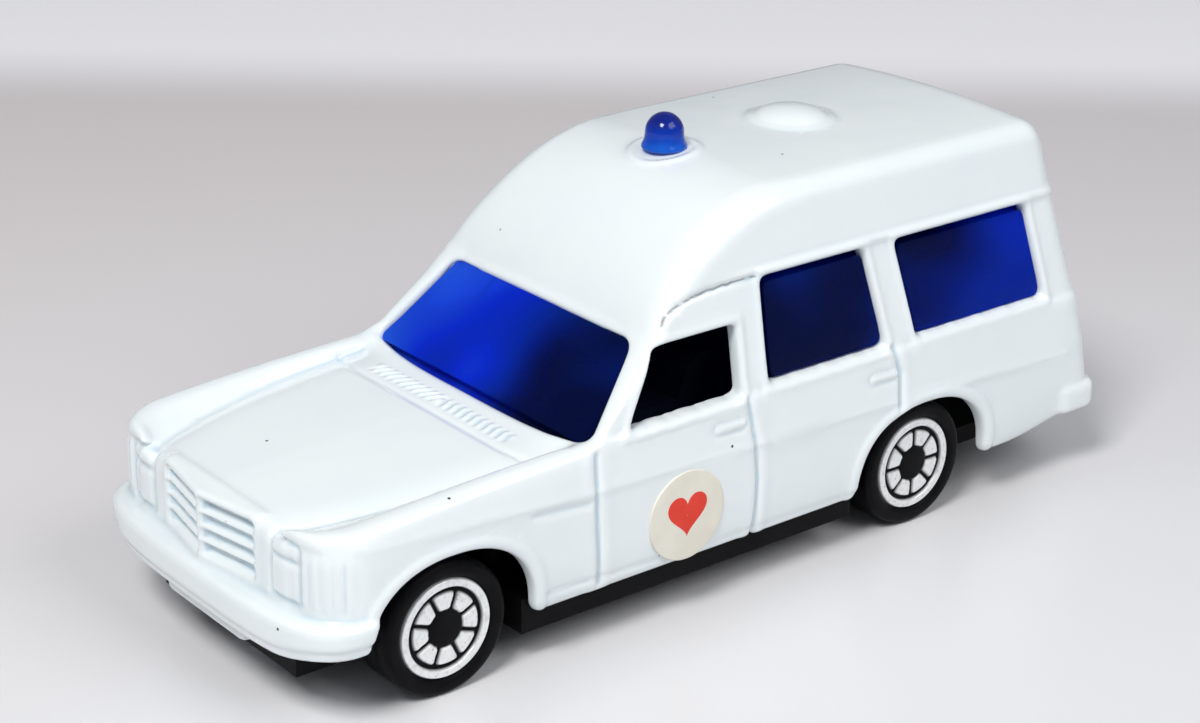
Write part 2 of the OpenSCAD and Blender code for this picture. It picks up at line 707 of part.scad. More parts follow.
// Tailgate outline on the tail panel, square at the top and round at the foot
function gate_outline(grow, top) =
    let (half = gate_w / 2 + grow, low = up_tail(gate_low_z) - grow, r = gate_corner_r + grow)
    concat([[top, half], [top, -half]],
           [for (a = [0:22.5:90]) [low + r - r * sin(a), -half + r - r * cos(a)]],
           [for (a = [90:-22.5:0]) [low + r - r * sin(a), half - r + r * cos(a)]]);
module gate_slab(grow, top, x0, depth) {
    translate([x0, 0, 0]) rotate([0, -90, 0]) mirror([0, 0, 1]) linear_extrude(depth)
        polygon(gate_outline(grow, top));
}
module along_hinge(r, half) {
    translate([gate_axis[0], half, gate_axis[1]]) rotate([90, 0, 0]) cylinder(r = r, h = 2 * half);
}
module gate_opening() {
    on_tail() {
        gate_slab(gate_gap, gate_axis[1] + gate_t / 2 + gate_gap, -reach / 4, reach / 2);
        along_hinge(gate_pin_d / 2 + pin_gap, gate_w / 2 + gate_pin_l + pin_gap);
    }
}

// Roof fittings

beacon_x = front_axle_x - beacon_back;
vent_x = front_axle_x - vent_back;
ring_h = 0.28;
module roof_fittings() {
    translate([beacon_x, 0, roof_z - bite]) cylinder(d = beacon_ring_d, h = bite + ring_h);
    translate([vent_x, 0, roof_z - bite]) cylinder(d = vent_ring_d, h = bite + ring_h / 2);
    translate([vent_x, 0, roof_z]) scale([1, 1, vent_h / (vent_d / 2)]) sphere(d = vent_d);
}
beacon_gap = 0.06;
module beacon_hole() {
    translate([beacon_x, 0, roof_z]) cylinder(d = beacon_foot_d + 2 * beacon_gap, h = reach);
    translate([beacon_x, 0, roof_z - reach / 4]) cylinder(d = beacon_stem_d + 2 * beacon_gap, h = reach);
}

// Posts that pass through the base, with spread heads let into its underside

front_post_x = nose_x - nose_wall - post_d / 2 + bite;
rear_post_x = tail_x + tail_wall + lean_at(tail_x) * (sill_z - belt_z) + post_d / 2;
post_xs = [front_post_x, rear_post_x];
post_top_z = sill_z + bumper_h;
post_foot_z = base_z + base_t + base_gap;
module posts() {
    for (x = post_xs) {
        translate([x, 0, base_z]) cylinder(d = post_head_d, h = post_head_t);
        translate([x, 0, base_z]) cylinder(d = post_d, h = post_top_z - base_z);
        translate([x, 0, post_foot_z]) cylinder(d = post_head_d, h = post_top_z - post_foot_z);
    }
}

module body_shell() {
    color("white") {
        difference() {
            union() {
                lower_body();
                cabin();
                bumpers();
                grille_block();
                lamps();
                tail_lamps();
                cowl_louvres();
                gutter();
                handles();
                roof_fittings();
            }
            lower_hollow();
            ahead_of_tail(tail_wall) cabin(wall, cabin_foot_z - hollow_join);
            grille_cuts();
            door_lines();
            wheel_arches();
            window_hole(door_window());
            window_hole(mid_window);
            window_hole(rear_window);
            screen_hole();
            gate_opening();
            beacon_hole();
        }
        posts();
    }
}

// Base

base_half = body_w / 2 - wall - base_gap;
wheel_room = 0.5;
inner_half = track_w / 2 - tyre_w - wheel_room;
post_edge = 0.8;
base_front_x = front_post_x + post_head_d / 2 + post_edge;
base_rear_x = rear_post_x - post_head_d / 2 - post_edge;
bearing_w = 3;
bearing_l = 3.4;
bearing_top = 1.5;
rim_h = 1.2;
rim_t = 0.9;
pillar_d = 2.6;
pillar_gap = 1.6;
wheel_end_room = 1.5;
head_gap = 0.05;
// Sunk panel of the underside, with the running gear in low relief
sunk_depth = 0.6;
sunk_frame = 2.2;
sunk_edge = 0.1;
shaft_d = 1;
pipe_d = 0.8;
pipe_y = 5.2;
silencer_l = 9;
silencer_w = 3.2;
tank_l = 11;
tank_w = 5;
gearbox_l = 8;
gearbox_w = 4.4;
wheel_cut_l = tyre_d / 2 + wheel_end_room;
pillar_xs = [front_axle_x - wheel_cut_l - pillar_gap, rear_axle_x + wheel_cut_l + pillar_gap];
base_mid_x0 = rear_axle_x + wheel_cut_l;
base_mid_x1 = front_axle_x - wheel_cut_l;
// Middle of the base, which fills the body's width between the wheels
module base_middle(inset = 0) {
    translate([base_mid_x0 + inset, -base_half + inset])
        square([base_mid_x1 - base_mid_x0 - 2 * inset, 2 * (base_half - inset)]);
}
// Bar with round ends, lengthways at the given place, standing down into the sunk panel
module relief_bar(x, y, l, w) {
    translate([x, y, base_z + sunk_edge]) linear_extrude(sunk_depth) {
        translate([-l / 2 + w / 2, -w / 2]) square([l - w, w]);
        for (end = [-1, 1]) {
            translate([end * (l - w) / 2, 0]) circle(d = w);
        }
    }
}
module sunk_panel() {
    middle_x = (base_mid_x0 + base_mid_x1) / 2;
    sunk_l = base_mid_x1 - base_mid_x0 - 2 * sunk_frame;
    difference() {
        translate([0, 0, base_z - bite]) linear_extrude(sunk_depth + bite) base_middle(sunk_frame);
        for (pipe = [[0, shaft_d], [pipe_y, pipe_d]]) {
            translate([middle_x - sunk_l, pipe[0], base_z + sunk_depth]) rotate([0, 90, 0])
                cylinder(d = pipe[1], h = 2 * sunk_l);
        }
        relief_bar(middle_x - sunk_l / 4, pipe_y, silencer_l, silencer_w);
        relief_bar(middle_x - sunk_l / 4, -pipe_y, tank_l, tank_w);
        relief_bar(middle_x + (sunk_l - gearbox_l) / 2, 0, gearbox_l, gearbox_w);
    }
}
module base_plate() {
    color("#1c1c1e") difference() {
        union() {
            translate([0, 0, base_z]) linear_extrude(base_t) {
                base_middle();
                translate([base_rear_x, -inner_half]) square([base_front_x - base_rear_x, 2 * inner_half]);
            }
            translate([0, 0, base_z]) linear_extrude(base_t + rim_h) difference() {
                base_middle();
                base_middle(rim_t);
            }
            for (x = [front_axle_x, rear_axle_x], side = [-1, 1]) {
                translate([x - bearing_l / 2, side > 0 ? inner_half - bearing_w : -inner_half, base_z])
                    cube([bearing_l, bearing_w, axle_z + bearing_top - base_z]);
            }
            for (x = pillar_xs, side = [-1, 1]) {
                translate([x, side * (inner_half - pillar_d / 2), base_z])
                    cylinder(d = pillar_d, h = floor_z - base_z);
            }
        }
        sunk_panel();
        for (x = [front_axle_x, rear_axle_x]) {
            translate([x, reach, axle_z]) rotate([90, 0, 0])
                cylinder(r = axle_d / 2 + axle_gap, h = 2 * reach);
        }
        for (x = post_xs) {
            translate([x, 0, base_z - bite]) cylinder(d = post_d + 2 * base_gap, h = base_t + 2 * bite);
            translate([x, 0, base_z - bite])
                cylinder(d = post_head_d + 2 * base_gap, h = bite + post_head_t + head_gap);
            translate([x, 0, base_z + base_t]) cylinder(d = post_head_d + 2 * base_gap, h = reach);
        }
    }
}

// Glazing

glass_in = wall + glass_gap;
glass_low_z = floor_z + floor_t;
glass_high_z = gutter_z + glass_t;
// Room behind the windscreen that the open front doors look into
module front_door_gap() {
    run = tan(screen_lean);
    x0 = front_axle_x - door_mid - glass_t;
    front = screen_x - 2 * wall;
    for (side = [-1, 1]) {
        translate([0, side > 0 ? reach : -cabin_w / 4, 0]) rotate([90, 0, 0])
            linear_extrude(reach - cabin_w / 4)
                polygon([[x0, 0], [front + run * bonnet_rear_z, 0],
                         [front - run * (header_z - bonnet_rear_z), header_z], [x0, header_z]]);
    }
}
module panes() {
    intersection() {
        cabin(pane_in);
        union() {
            window_hole(mid_window, pane_gap);
            window_hole(rear_window, pane_gap);
            screen_hole(pane_gap);
        }
    }
}
module window_unit() {
    color("#0a1f9c", 0.6) difference() {
        union() {
            ahead_of_tail(tail_wall + glass_gap) cabin(glass_in, glass_low_z);
            panes();
        }
        difference() {
            cabin(glass_in + glass_t, glass_low_z - glass_t);
            translate([-3 * reach, -reach, glass_high_z - glass_t])
                cube([6 * reach, 2 * reach, glass_t]);
        }
        translate([-3 * reach, -reach, glass_high_z]) cube([6 * reach, 2 * reach, reach]);
        front_door_gap();
    }
}

// Inside

tray_gap = 0.3;
tray_half = body_w / 2 - wall - tray_gap;
tray_front_gap = 2.4;
tray_rear_gap = 1;
tray_front_x = screen_x - tray_front_gap;
tray_rear_x = tail_x + tail_wall + tray_gap + lean_at(tail_x) * (floor_z - belt_z) + tray_rear_gap;
seat_l = 5.4;
seat_h = 2.2;
seat_back_t = 1.7;
seat_room = 0.8;
seat_rear_x = front_axle_x - door_mid + seat_room;
seat_r = 0.8;
seat_apart = 1.2;
seat_y = (seat_w + seat_apart) / 2;
dash_l = 2.2;
dash_gap = 0.5;
// Top of the dash, below the inside of the windscreen
dash_top_z = bonnet_rear_z + tray_front_gap / tan(screen_lean)
    - (glass_in + glass_t) / sin(screen_lean) - roof_crown - dash_gap;
dash_h = dash_top_z - floor_z - floor_t;
wheel_rim_d = 4.4;
wheel_rim_t = 0.6;
column_lean = 55;
column_l = 3;
module seat(y) {
    translate([seat_rear_x, y + seat_w / 2, floor_z]) rotate([90, 0, 0]) linear_extrude(seat_w)
        polygon([[0, 0], [seat_back_t + seat_l, 0], [seat_back_t + seat_l, floor_t + seat_h],
                 [seat_back_t, floor_t + seat_h], [seat_back_t / 2, seat_back_z - floor_z - seat_r],
                 for (a = [0:30:90])
                     [seat_r * cos(a) - seat_r / 2, seat_back_z - floor_z - seat_r + seat_r * sin(a)],
                 [-seat_back_t, seat_back_z - floor_z]]);
}
module interior_tray() {
    color("#202226") {
        translate([tray_rear_x, -tray_half, floor_z])
            cube([tray_front_x - tray_rear_x, 2 * tray_half, floor_t]);
        for (side = [-1, 1]) seat(side * seat_y);
        translate([tray_front_x - dash_l, -tray_half, floor_z])
            cube([dash_l, 2 * tray_half, floor_t + dash_h]);
        translate([tray_front_x - dash_l, seat_y, floor_z + floor_t + dash_h / 2])
            rotate([0, -column_lean, 0]) {
                cylinder(d = wheel_rim_t, h = column_l);
                translate([0, 0, column_l]) rotate_extrude()
                    translate([wheel_rim_d / 2 - wheel_rim_t / 2, 0]) circle(d = wheel_rim_t);
                translate([0, 0, column_l])
                    cube([wheel_rim_d - wheel_rim_t, wheel_rim_t, wheel_rim_t], center = true);
            }
    }
}

// Beacon

beacon_foot_h = 0.6;
stem_end = 0.6;
stem_l = wall + stem_end;
module beacon_dome() {
    r = beacon_d / 2;
    straight = beacon_h - r;
    color("#0b2fd0", 0.75) translate([beacon_x, 0, roof_z]) rotate_extrude()
        polygon(concat([[0, -stem_l], [beacon_stem_d / 2, -stem_l], [beacon_stem_d / 2, 0],
                        [beacon_foot_d / 2, 0], [beacon_foot_d / 2, beacon_foot_h], [r, beacon_foot_h]],
                       [for (a = [0:7.5:90]) [r * cos(a), straight + r * sin(a)]]));
}

// Wheels and axles

hub_wall = 1.2;
press_gap = 0.01;
tyre_r = 0.5;
axle_l = track_w - 2 * hub_wall;
face_dish = 0.3;
module axle(x) {
    color("silver") translate([x, axle_l / 2, axle_z]) rotate([90, 0, 0])
        cylinder(d = axle_d, h = axle_l);
}
// Wheel with its outer face at z = 0, its body below
module wheel_shape() {
    edge = tyre_d / 2 - tyre_r;
    difference() {
        rotate_extrude($fn = 64)
            polygon(concat([[0, -face_dish], [ring_d / 2 + face_dish, -face_dish],
                            [ring_d / 2 + 2 * face_dish, 0]],
                           [for (a = [90:-22.5:0]) [edge + tyre_r * cos(a), -tyre_r + tyre_r * sin(a)]],
                           [for (a = [0:-22.5:-90])
                               [edge + tyre_r * cos(a), tyre_r - tyre_w + tyre_r * sin(a)]],
                           [[0, -tyre_w]]));
        translate([0, 0, -tyre_w - bite])
            cylinder(d = axle_d + 2 * press_gap, h = tyre_w - hub_wall + bite + press_gap);
    }
    translate([0, 0, -face_dish]) {
        linear_extrude(pad_h) difference() {
            circle(d = ring_d, $fn = 64);
            circle(d = ring_inner_d, $fn = 64);
        }
        linear_extrude(pad_h) difference() {
            circle(d = pad_outer_d, $fn = 64);
            circle(d = hub_d, $fn = 64);
            for (i = [0:pads - 1]) {
                rotate(360 * i / pads) translate([0, -spoke_w / 2]) square([tyre_d, spoke_w]);
            }
        }
    }
}
module wheel(x, side) {
    color("#141414") translate([x, side * track_w / 2, axle_z]) rotate([side * -90, 0, 0])
        wheel_shape();
}

// Tailgate

gate_window_r = 0.9;
gate_window_side = 1.7;
gate_window_top = 2.3;
gate_window_rise = 0.4;
gate_window_low_z = window_low_z + gate_window_rise;
lip_w = 5;
lip_h = 0.8;
lip_out = 0.6;
lip_up = 1;
pane_back_t = 0.6;
pane_lap = 0.7;
module gate_pane(grow, x0, depth) {
    half = gate_w / 2 - gate_window_side + grow;
    translate([x0, 0, 0]) rotate([0, -90, 0]) mirror([0, 0, 1]) linear_extrude(depth)
        polygon(pane_outline(half, up_tail(gate_window_low_z) - grow,
                             gate_axis[1] - gate_window_top + grow, gate_window_r + grow));
}
function pane_outline(half, low, high, r) =
    [for (k = [0:3], i = [0:4])
        let (a = 90 * k + 22.5 * i,
             cx = k == 0 || k == 3 ? high - r : low + r,
             cy = k < 2 ? half - r : r - half)
        [cx + r * cos(a), cy + r * sin(a)]];
module tailgate() {
    color("white") on_tail() difference() {
        union() {
            gate_slab(0, gate_axis[1], 0, gate_t);
            along_hinge(gate_t / 2, gate_w / 2);
            along_hinge(gate_pin_d / 2, gate_w / 2 + gate_pin_l);
            translate([-lip_out, -lip_w / 2, up_tail(gate_low_z) + lip_up])
                cube([lip_out + bite, lip_w, lip_h]);
        }
        gate_pane(0, -bite, gate_t + 2 * bite);
    }
}
module tailgate_window() {
    color("#0a1f9c", 0.6) on_tail() {
        gate_pane(-pane_gap, pane_in, gate_t - pane_in + pane_gap);
        gate_pane(pane_lap, gate_t, pane_back_t);
    }
}

// Labels

label_gap = 0.02;
label_x = front_axle_x - label_back;
// Side of the body behind a label, from the sill to the crease, moved out by the given amount
function label_side(out) =
    let (h = lower_half(label_x, 0, sill_line(label_x)))
    [for (i = [2:5]) [h[i][0] + out, h[i][1]]];
module door_label(side) {
    outer = label_side(label_gap + label_t);
    inner = label_side(label_gap);
    color("ivory") mirror([0, side > 0 ? 0 : 1, 0]) intersection() {
        translate([label_x - label_d, 0, 0]) rotate([90, 0, 90]) linear_extrude(2 * label_d)
            polygon(concat(outer, [for (i = [len(inner) - 1:-1:0]) inner[i]]));
        translate([label_x, 0, label_z]) rotate([-90, 0, 0]) cylinder(d = label_d, h = reach);
    }
}

body_shell();
base_plate();
window_unit();
interior_tray();
beacon_dome();
axle(front_axle_x);  // front_axle
wheel(front_axle_x, 1);  // front_left_wheel
wheel(front_axle_x, -1);  // front_right_wheel
axle(rear_axle_x);  // rear_axle
wheel(rear_axle_x, 1);  // rear_left_wheel
wheel(rear_axle_x, -1);  // rear_right_wheel
tailgate();
tailgate_window();
door_label(1);  // door_label_left
door_label(-1);  // door_label_right
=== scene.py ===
"""Toy ambulance: the visual model and its studio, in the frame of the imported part."""

import math
from functools import reduce

import bpy
import numpy as np
import openvdb
from mathutils import Matrix, Vector


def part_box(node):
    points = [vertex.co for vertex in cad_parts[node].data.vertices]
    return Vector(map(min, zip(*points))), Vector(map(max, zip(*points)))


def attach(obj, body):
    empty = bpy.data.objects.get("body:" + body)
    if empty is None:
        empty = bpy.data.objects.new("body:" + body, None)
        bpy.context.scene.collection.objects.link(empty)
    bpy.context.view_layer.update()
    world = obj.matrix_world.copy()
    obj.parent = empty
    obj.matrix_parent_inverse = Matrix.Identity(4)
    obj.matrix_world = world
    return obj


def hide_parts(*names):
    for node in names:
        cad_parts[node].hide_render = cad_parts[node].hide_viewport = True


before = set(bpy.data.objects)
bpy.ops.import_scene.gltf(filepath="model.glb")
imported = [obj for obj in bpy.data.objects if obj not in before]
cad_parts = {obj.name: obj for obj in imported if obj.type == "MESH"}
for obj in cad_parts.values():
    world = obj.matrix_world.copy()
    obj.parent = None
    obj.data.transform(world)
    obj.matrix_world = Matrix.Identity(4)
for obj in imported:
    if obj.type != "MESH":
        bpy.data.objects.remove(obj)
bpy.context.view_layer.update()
MM = 0.001

# Places and sizes of the part, in millimetres
FRONT_X = 39.15
FRONT_AXLE_X = 26.85
REAR_AXLE_X = -18.15
AXLE_Z = 5.08
NOSE_X = 37.2
NOSE_TURN = 4.0
NOSE_HALF = 10.2
BODY_HALF = 14.5
TAIL_X = -36.4
TAIL_R = 2.4
TAIL_LEAN = math.radians(13)
TAIL_COS = math.cos(TAIL_LEAN)
TAIL_SIN = math.sin(TAIL_LEAN)
TAIL_TAN = math.tan(TAIL_LEAN)
BELT_Z = 15.6
SILL_Z = 4.2
WALL = 1.2
NOSE_WALL = 3.2
TAIL_WALL = 2.4
SCREEN_X = 15.15
SCREEN_FOOT_Z = 15.2
WING_NOSE_Z = 14.3
BONNET_NOSE_Z = 13.7
HEADER_X = 8.45
HEADER_Z = 21.9
ROOF_LEVEL_X = -4.75
ROOF_Z = 30.5
ROOF_CROWN = 0.4
GUTTER_Z = 24.1
CABIN_FOOT_Z = 14.4
CABIN_HALVES = (13.9, 12.3, 11.4)  # at the belt, the gutter and the roof
ARCH_HALF = 6.9
ARCHES = ((FRONT_AXLE_X, 6.0), (REAR_AXLE_X, 5.6))  # middle, rise above the axle
BEACON_X = -3.0
VENT_X = -15.9
VENT_R = 3.0
WHEEL_FACE_Y = 13.5
TYRE_R = 5.08
LABEL_X = 6.4
LABEL_Z = 8.2
LABEL_R = 3.5
GATE_HALF = 10.2
GATE_T = 1.4
GATE_UP = (24.4 - BELT_Z) / TAIL_COS
GATE_LOW = (9.6 - BELT_Z) / TAIL_COS

# Grid of the modelled surfaces: its step, the cells kept round a skin, and its corners
STEP = 0.14
BAND = math.ceil(1.5 / STEP)
GRID_LOW = (-39.9, 0.0, 1.9)
GRID_HIGH = (39.9, 15.7, 32.3)
MESH_ADAPTIVITY = 0.02
BODY_TRIANGLES = 190000
GATE_TRIANGLES = 60000


# Blends

def mix(a, b, t):
    return a + (b - a) * t


def ease(t):
    u = np.clip(t, 0.0, 1.0)
    return u * u * (3 - 2 * u)


def between(x, a, b):
    return (x - a) / (b - a)


def share(x, a, b):
    return min(1.0, max(0.0, between(x, a, b)))


def eased(x, a, b):
    return float(ease(between(x, a, b)))


def smooth_min(a, b, k):
    h = np.maximum(k - np.abs(a - b), 0)
    return np.minimum(a, b) - h * h / (4 * k)


def smooth_max(a, b, k):
    return -smooth_min(-a, -b, k)


def inside(d, soft):
    """One inside a shape and nought outside it, from its signed distance."""
    return ease(-d / soft + 0.5)


def band(d, low, high, soft):
    """One where a distance lies between low and high."""
    return ease((d - low) / soft + 0.5) * ease((high - d) / soft + 0.5)


# Flat distances

def line_distance(u, v, points):
    """Distance to an open line of points."""
    def to_part(a, b):
        dx, dy = b[0] - a[0], b[1] - a[1]
        t = np.clip(((u - a[0]) * dx + (v - a[1]) * dy) / (dx * dx + dy * dy), 0, 1)
        return np.hypot(u - a[0] - t * dx, v - a[1] - t * dy)
    return reduce(np.minimum, (to_part(a, b) for a, b in zip(points[:-1], points[1:])))


def line_relief(u, v, points, width):
    """Soft ridge of height one along a line of points."""
    return np.exp(-(line_distance(u, v, points) / width) ** 2)


def outline_distance(u, v, points, r):
    """Signed distance to a convex outline with rounded corners, negative inside."""
    edges = list(zip(points, points[1:] + points[:1]))
    turn = sum(ax * by - bx * ay for (ax, ay), (bx, by) in edges)

    def to_edge(a, b):
        n = math.hypot(b[0] - a[0], b[1] - a[1]) * (1 if turn > 0 else -1)
        return ((u - a[0]) * (b[1] - a[1]) - (v - a[1]) * (b[0] - a[0])) / n
    return reduce(lambda d, e: smooth_max(d, e, 1.6 * r), (to_edge(a, b) for a, b in edges))


def rounded(a, b, r):
    """Signed distance to what lies inside both a and b, with the edge between them rounded."""
    a, b = a + r, b + r
    return np.hypot(np.maximum(a, 0), np.maximum(b, 0)) + np.minimum(np.maximum(a, b), 0) - r


def box_distance(u, v, u0, u1, v0, v1, r):
    return rounded(np.abs(u - (u0 + u1) / 2) - (u1 - u0) / 2,
                   np.abs(v - (v0 + v1) / 2) - (v1 - v0) / 2, r)


def thick_distance(flat, across, half, r):
    """Signed distance to a flat shape given a thickness, with rounded edges."""
    return rounded(flat, across - half, r)


# Sections of the body

TAIL_PAST = 1.5
TAIL_EASE = 1.6


def corner(r, e):
    """How far a rounded corner draws in at the distance e from its end."""
    return 0.0 if e >= r else r - math.sqrt(max(0.0, r * r - (r - e) ** 2))


def soft_line(points, cuts, steps=6):
    """Line through points with each corner cut to a curve."""
    out = [points[0]]
    for i in range(1, len(points) - 1):
        p = np.array(points[i])
        a, b = np.array(points[i - 1]) - p, np.array(points[i + 1]) - p
        la, lb = np.linalg.norm(a), np.linalg.norm(b)
        a = p + a * min(cuts[i] / max(la, 1e-6), 0.48)
        b = p + b * min(cuts[i] / max(lb, 1e-6), 0.48)
        for j in range(steps + 1):
            t = j / steps
            out.append(tuple((1 - t) ** 2 * a + 2 * t * (1 - t) * p + t * t * b))
    out.append(points[-1])
    return out


def leaned(x, half):
    """Puts a half section at x, leaning more the nearer it is to the tail."""
    lean = TAIL_TAN * eased(x, 0, TAIL_X)
    return [(x + lean * (z - BELT_Z), y, z) for y, z in half]


def plan_half(x):
    front = share(x, NOSE_X - NOSE_TURN, NOSE_X)
    half = mix(NOSE_HALF, BODY_HALF, math.sqrt(1 - front * front))
    return half - corner(TAIL_R, max(0.0, x - TAIL_X))


def sill_line(x):
    """Height of the body's lower edge, which rises towards the tail and the nose."""
    tail_rise, nose_rise = 1.4, 1.7
    return (SILL_Z + tail_rise * eased(x, REAR_AXLE_X - ARCH_HALF, TAIL_X)
            + nose_rise * eased(x, FRONT_AXLE_X + ARCH_HALF / 2, FRONT_AXLE_X + ARCH_HALF))


def wing_z(x):
    return mix(BELT_Z, WING_NOSE_Z, share(x, SCREEN_X - 1, NOSE_X) ** 1.7)


def bonnet_z(x):
    return mix(SCREEN_FOOT_Z, BONNET_NOSE_Z, share(x, SCREEN_X, NOSE_X) ** 1.35)


def narrowed(x, half, by, reach):
    """Half width that draws in towards the nose."""
    return half - by * math.exp(-max(0.0, NOSE_X - x) / reach)


def valley_half(x):
    return narrowed(x, 12.35, 4.3, 7.5)


def dome_half(x):
    return narrowed(x, 9.9, 3.9, 5.5)


def lower_ring(x, low):
    """Left half of the lower body's section, from the middle of its foot to that of its top."""
    w = plan_half(x)
    front = eased(x, SCREEN_X - 2, SCREEN_X + 2)
    r = mix(0.6, 1.8, front)
    top = wing_z(x)
    side = w - 0.35
    crease = min(mix(11.4, 13.4, share(x, TAIL_X, NOSE_X)), top - r - 0.2)
    bonnet = bonnet_z(x)
    valley = min(valley_half(x), side - r - 0.3)
    dome = min(dome_half(x), valley - 0.8)
    points = [(0.0, low), (w - 0.6, low), (w - 0.2, low + 0.65), (w, low + 2.6), (w, crease),
              (side, top), (side - r, top - 0.03), (valley, mix(BELT_Z, bonnet - 0.5, front)),
              (dome, mix(BELT_Z, bonnet - 0.14, front)), (0.0, mix(BELT_Z, bonnet, front))]
    cuts = [0, 0.4, 0.5, 1.0, 0.5, r, 0.5, 0.6, 1.6, 0]
    return leaned(x, soft_line(points, cuts))


def roof_line():
    """Middle line up the windscreen, over its header and along the roof to the tail."""
    foot = np.array((SCREEN_X, SCREEN_FOOT_Z))
    a = np.array((HEADER_X, HEADER_Z))
    d = np.array((ROOF_LEVEL_X, ROOF_Z))
    climb = math.radians(63)
    b = a + 6 * np.array((-math.cos(climb), math.sin(climb)))
    c = d + np.array((0.42 * (HEADER_X - ROOF_LEVEL_X), 0))
    line = [mix(foot, a, i / 24) for i in range(24)]
    for i in range(49):
        t = i / 48
        s = 1 - t
        line.append(s ** 3 * a + 3 * s ** 2 * t * b + 3 * s * t * t * c + t ** 3 * d)
    rear = TAIL_X + TAIL_R
    xs = [mix(ROOF_LEVEL_X, rear, i / 40) for i in range(1, 40)]
    xs += [TAIL_X + TAIL_R * (1 - i / 14) ** TAIL_EASE for i in range(15)]
    return line + [np.array((x, ROOF_Z)) for x in xs + [TAIL_X - TAIL_PAST]]


def cabin_side(z):
    return float(np.interp(z, [BELT_Z, GUTTER_Z, ROOF_Z], CABIN_HALVES))


def cabin_ring(p, foot):
    """Left half of the cabin's section under a point of the roof line."""
    x = float(p[0])
    back = corner(TAIL_R, max(0.0, x - TAIL_X))
    top = float(p[1]) - ROOF_CROWN - back / 2
    edge = mix(1.8, 3.0, eased(x, -9, 3))
    r = min(edge, max(0.3, (top - foot) / 4))
    high = max(foot + 0.1, top - r)
    half = [(0.0, foot)]
    for i in range(13):
        z = mix(foot, high, i / 12)
        half.append((cabin_side(z) - back, z))
    flat = half[-1][0] - r
    for i in range(1, 9):
        a = math.pi / 2 * i / 8
        half.append((flat + r * math.cos(a), high + r * math.sin(a)))
    for i in range(1, 11):
        u = 1 - i / 10
        half.append((flat * u, high + r + ROOF_CROWN * (1 - u * u)))
    return leaned(x, half)


# The grid: X along the car, Y from the middle plane out to the left, Z up

grid_low = [math.floor(v / STEP) for v in GRID_LOW]
grid_high = [math.ceil(v / STEP) for v in GRID_HIGH]
grid_x, grid_y, grid_z = (STEP * np.arange(a, b + 1, dtype=np.float32)
                          for a, b in zip(grid_low, grid_high))
X = grid_x[:, None, None]
Y = grid_y[None, :, None]
Z = grid_z[None, None, :]
XZ_X, XZ_Z = grid_x[:, None], grid_z[None, :]
XY_X, XY_Y = grid_x[:, None], grid_y[None, :]
YZ_Y, YZ_Z = grid_y[:, None], grid_z[None, :]


def on_side(m):
    return m[:, None, :]


def on_top(m):
    return m[:, :, None]


def on_front(m):
    return m[None, :, :]


def single(f):
    return f.astype(np.float32)


def loft_distance(rings):
    """Distance field of the closed skin through rings of left halves."""
    rings = [half + [(x, -y, z) for x, y, z in half[-2:0:-1]] for half in rings]
    n, m = len(rings[0]), len(rings)
    points = np.array([p for ring in rings for p in ring], dtype=np.float32)
    i, j = np.meshgrid(np.arange(m - 1), np.arange(n), indexing="ij")
    a, b = i * n + j, i * n + (j + 1) % n
    sides = np.stack([np.stack([a, b, b + n], -1), np.stack([a, b + n, a + n], -1)], 2)
    j = np.arange(1, n - 1)
    front = np.stack([0 * j, j + 1, j], -1)
    rear = (m - 1) * n + np.stack([0 * j, j, j + 1], -1)
    faces = np.concatenate([sides.reshape(-1, 3), front, rear]).astype(np.uint32)
    grid = openvdb.FloatGrid.createLevelSetFromPolygons(
        points, triangles=faces, halfWidth=BAND,
        transform=openvdb.createLinearTransform(voxelSize=STEP))
    out = np.zeros((len(grid_x), len(grid_y), len(grid_z)), dtype=np.float32)
    grid.copyToArray(out, ijk=tuple(grid_low))
    return out


def soften(f, passes):
    """Evens out edges and hollows, as a thick coat of enamel does."""
    for axis in range(3):
        n = f.shape[axis]
        first = 1 if axis == 1 else 0  # the field is mirrored in the plane Y = 0
        for _ in range(passes):
            before = f.take(np.r_[first, 0:n - 1], axis)
            after = f.take(np.r_[1:n, n - 1], axis)
            f = 0.25 * before + 0.5 * f + 0.25 * after
    return f


def sample(f, points):
    """Values of the field at points, taken from the left half for both sides."""
    left = np.stack([points[:, 0], np.abs(points[:, 1]), points[:, 2]], -1)
    q = left / STEP - np.array(grid_low, np.float32)
    i = np.clip(np.floor(q).astype(int), 0, np.array(f.shape) - 2)
    t = np.clip(q - i, 0, 1)
    out = 0
    for near in np.ndindex(2, 2, 2):
        out = out + np.prod(np.where(near, t, 1 - t), axis=1) * f[tuple((i + near).T)]
    return out


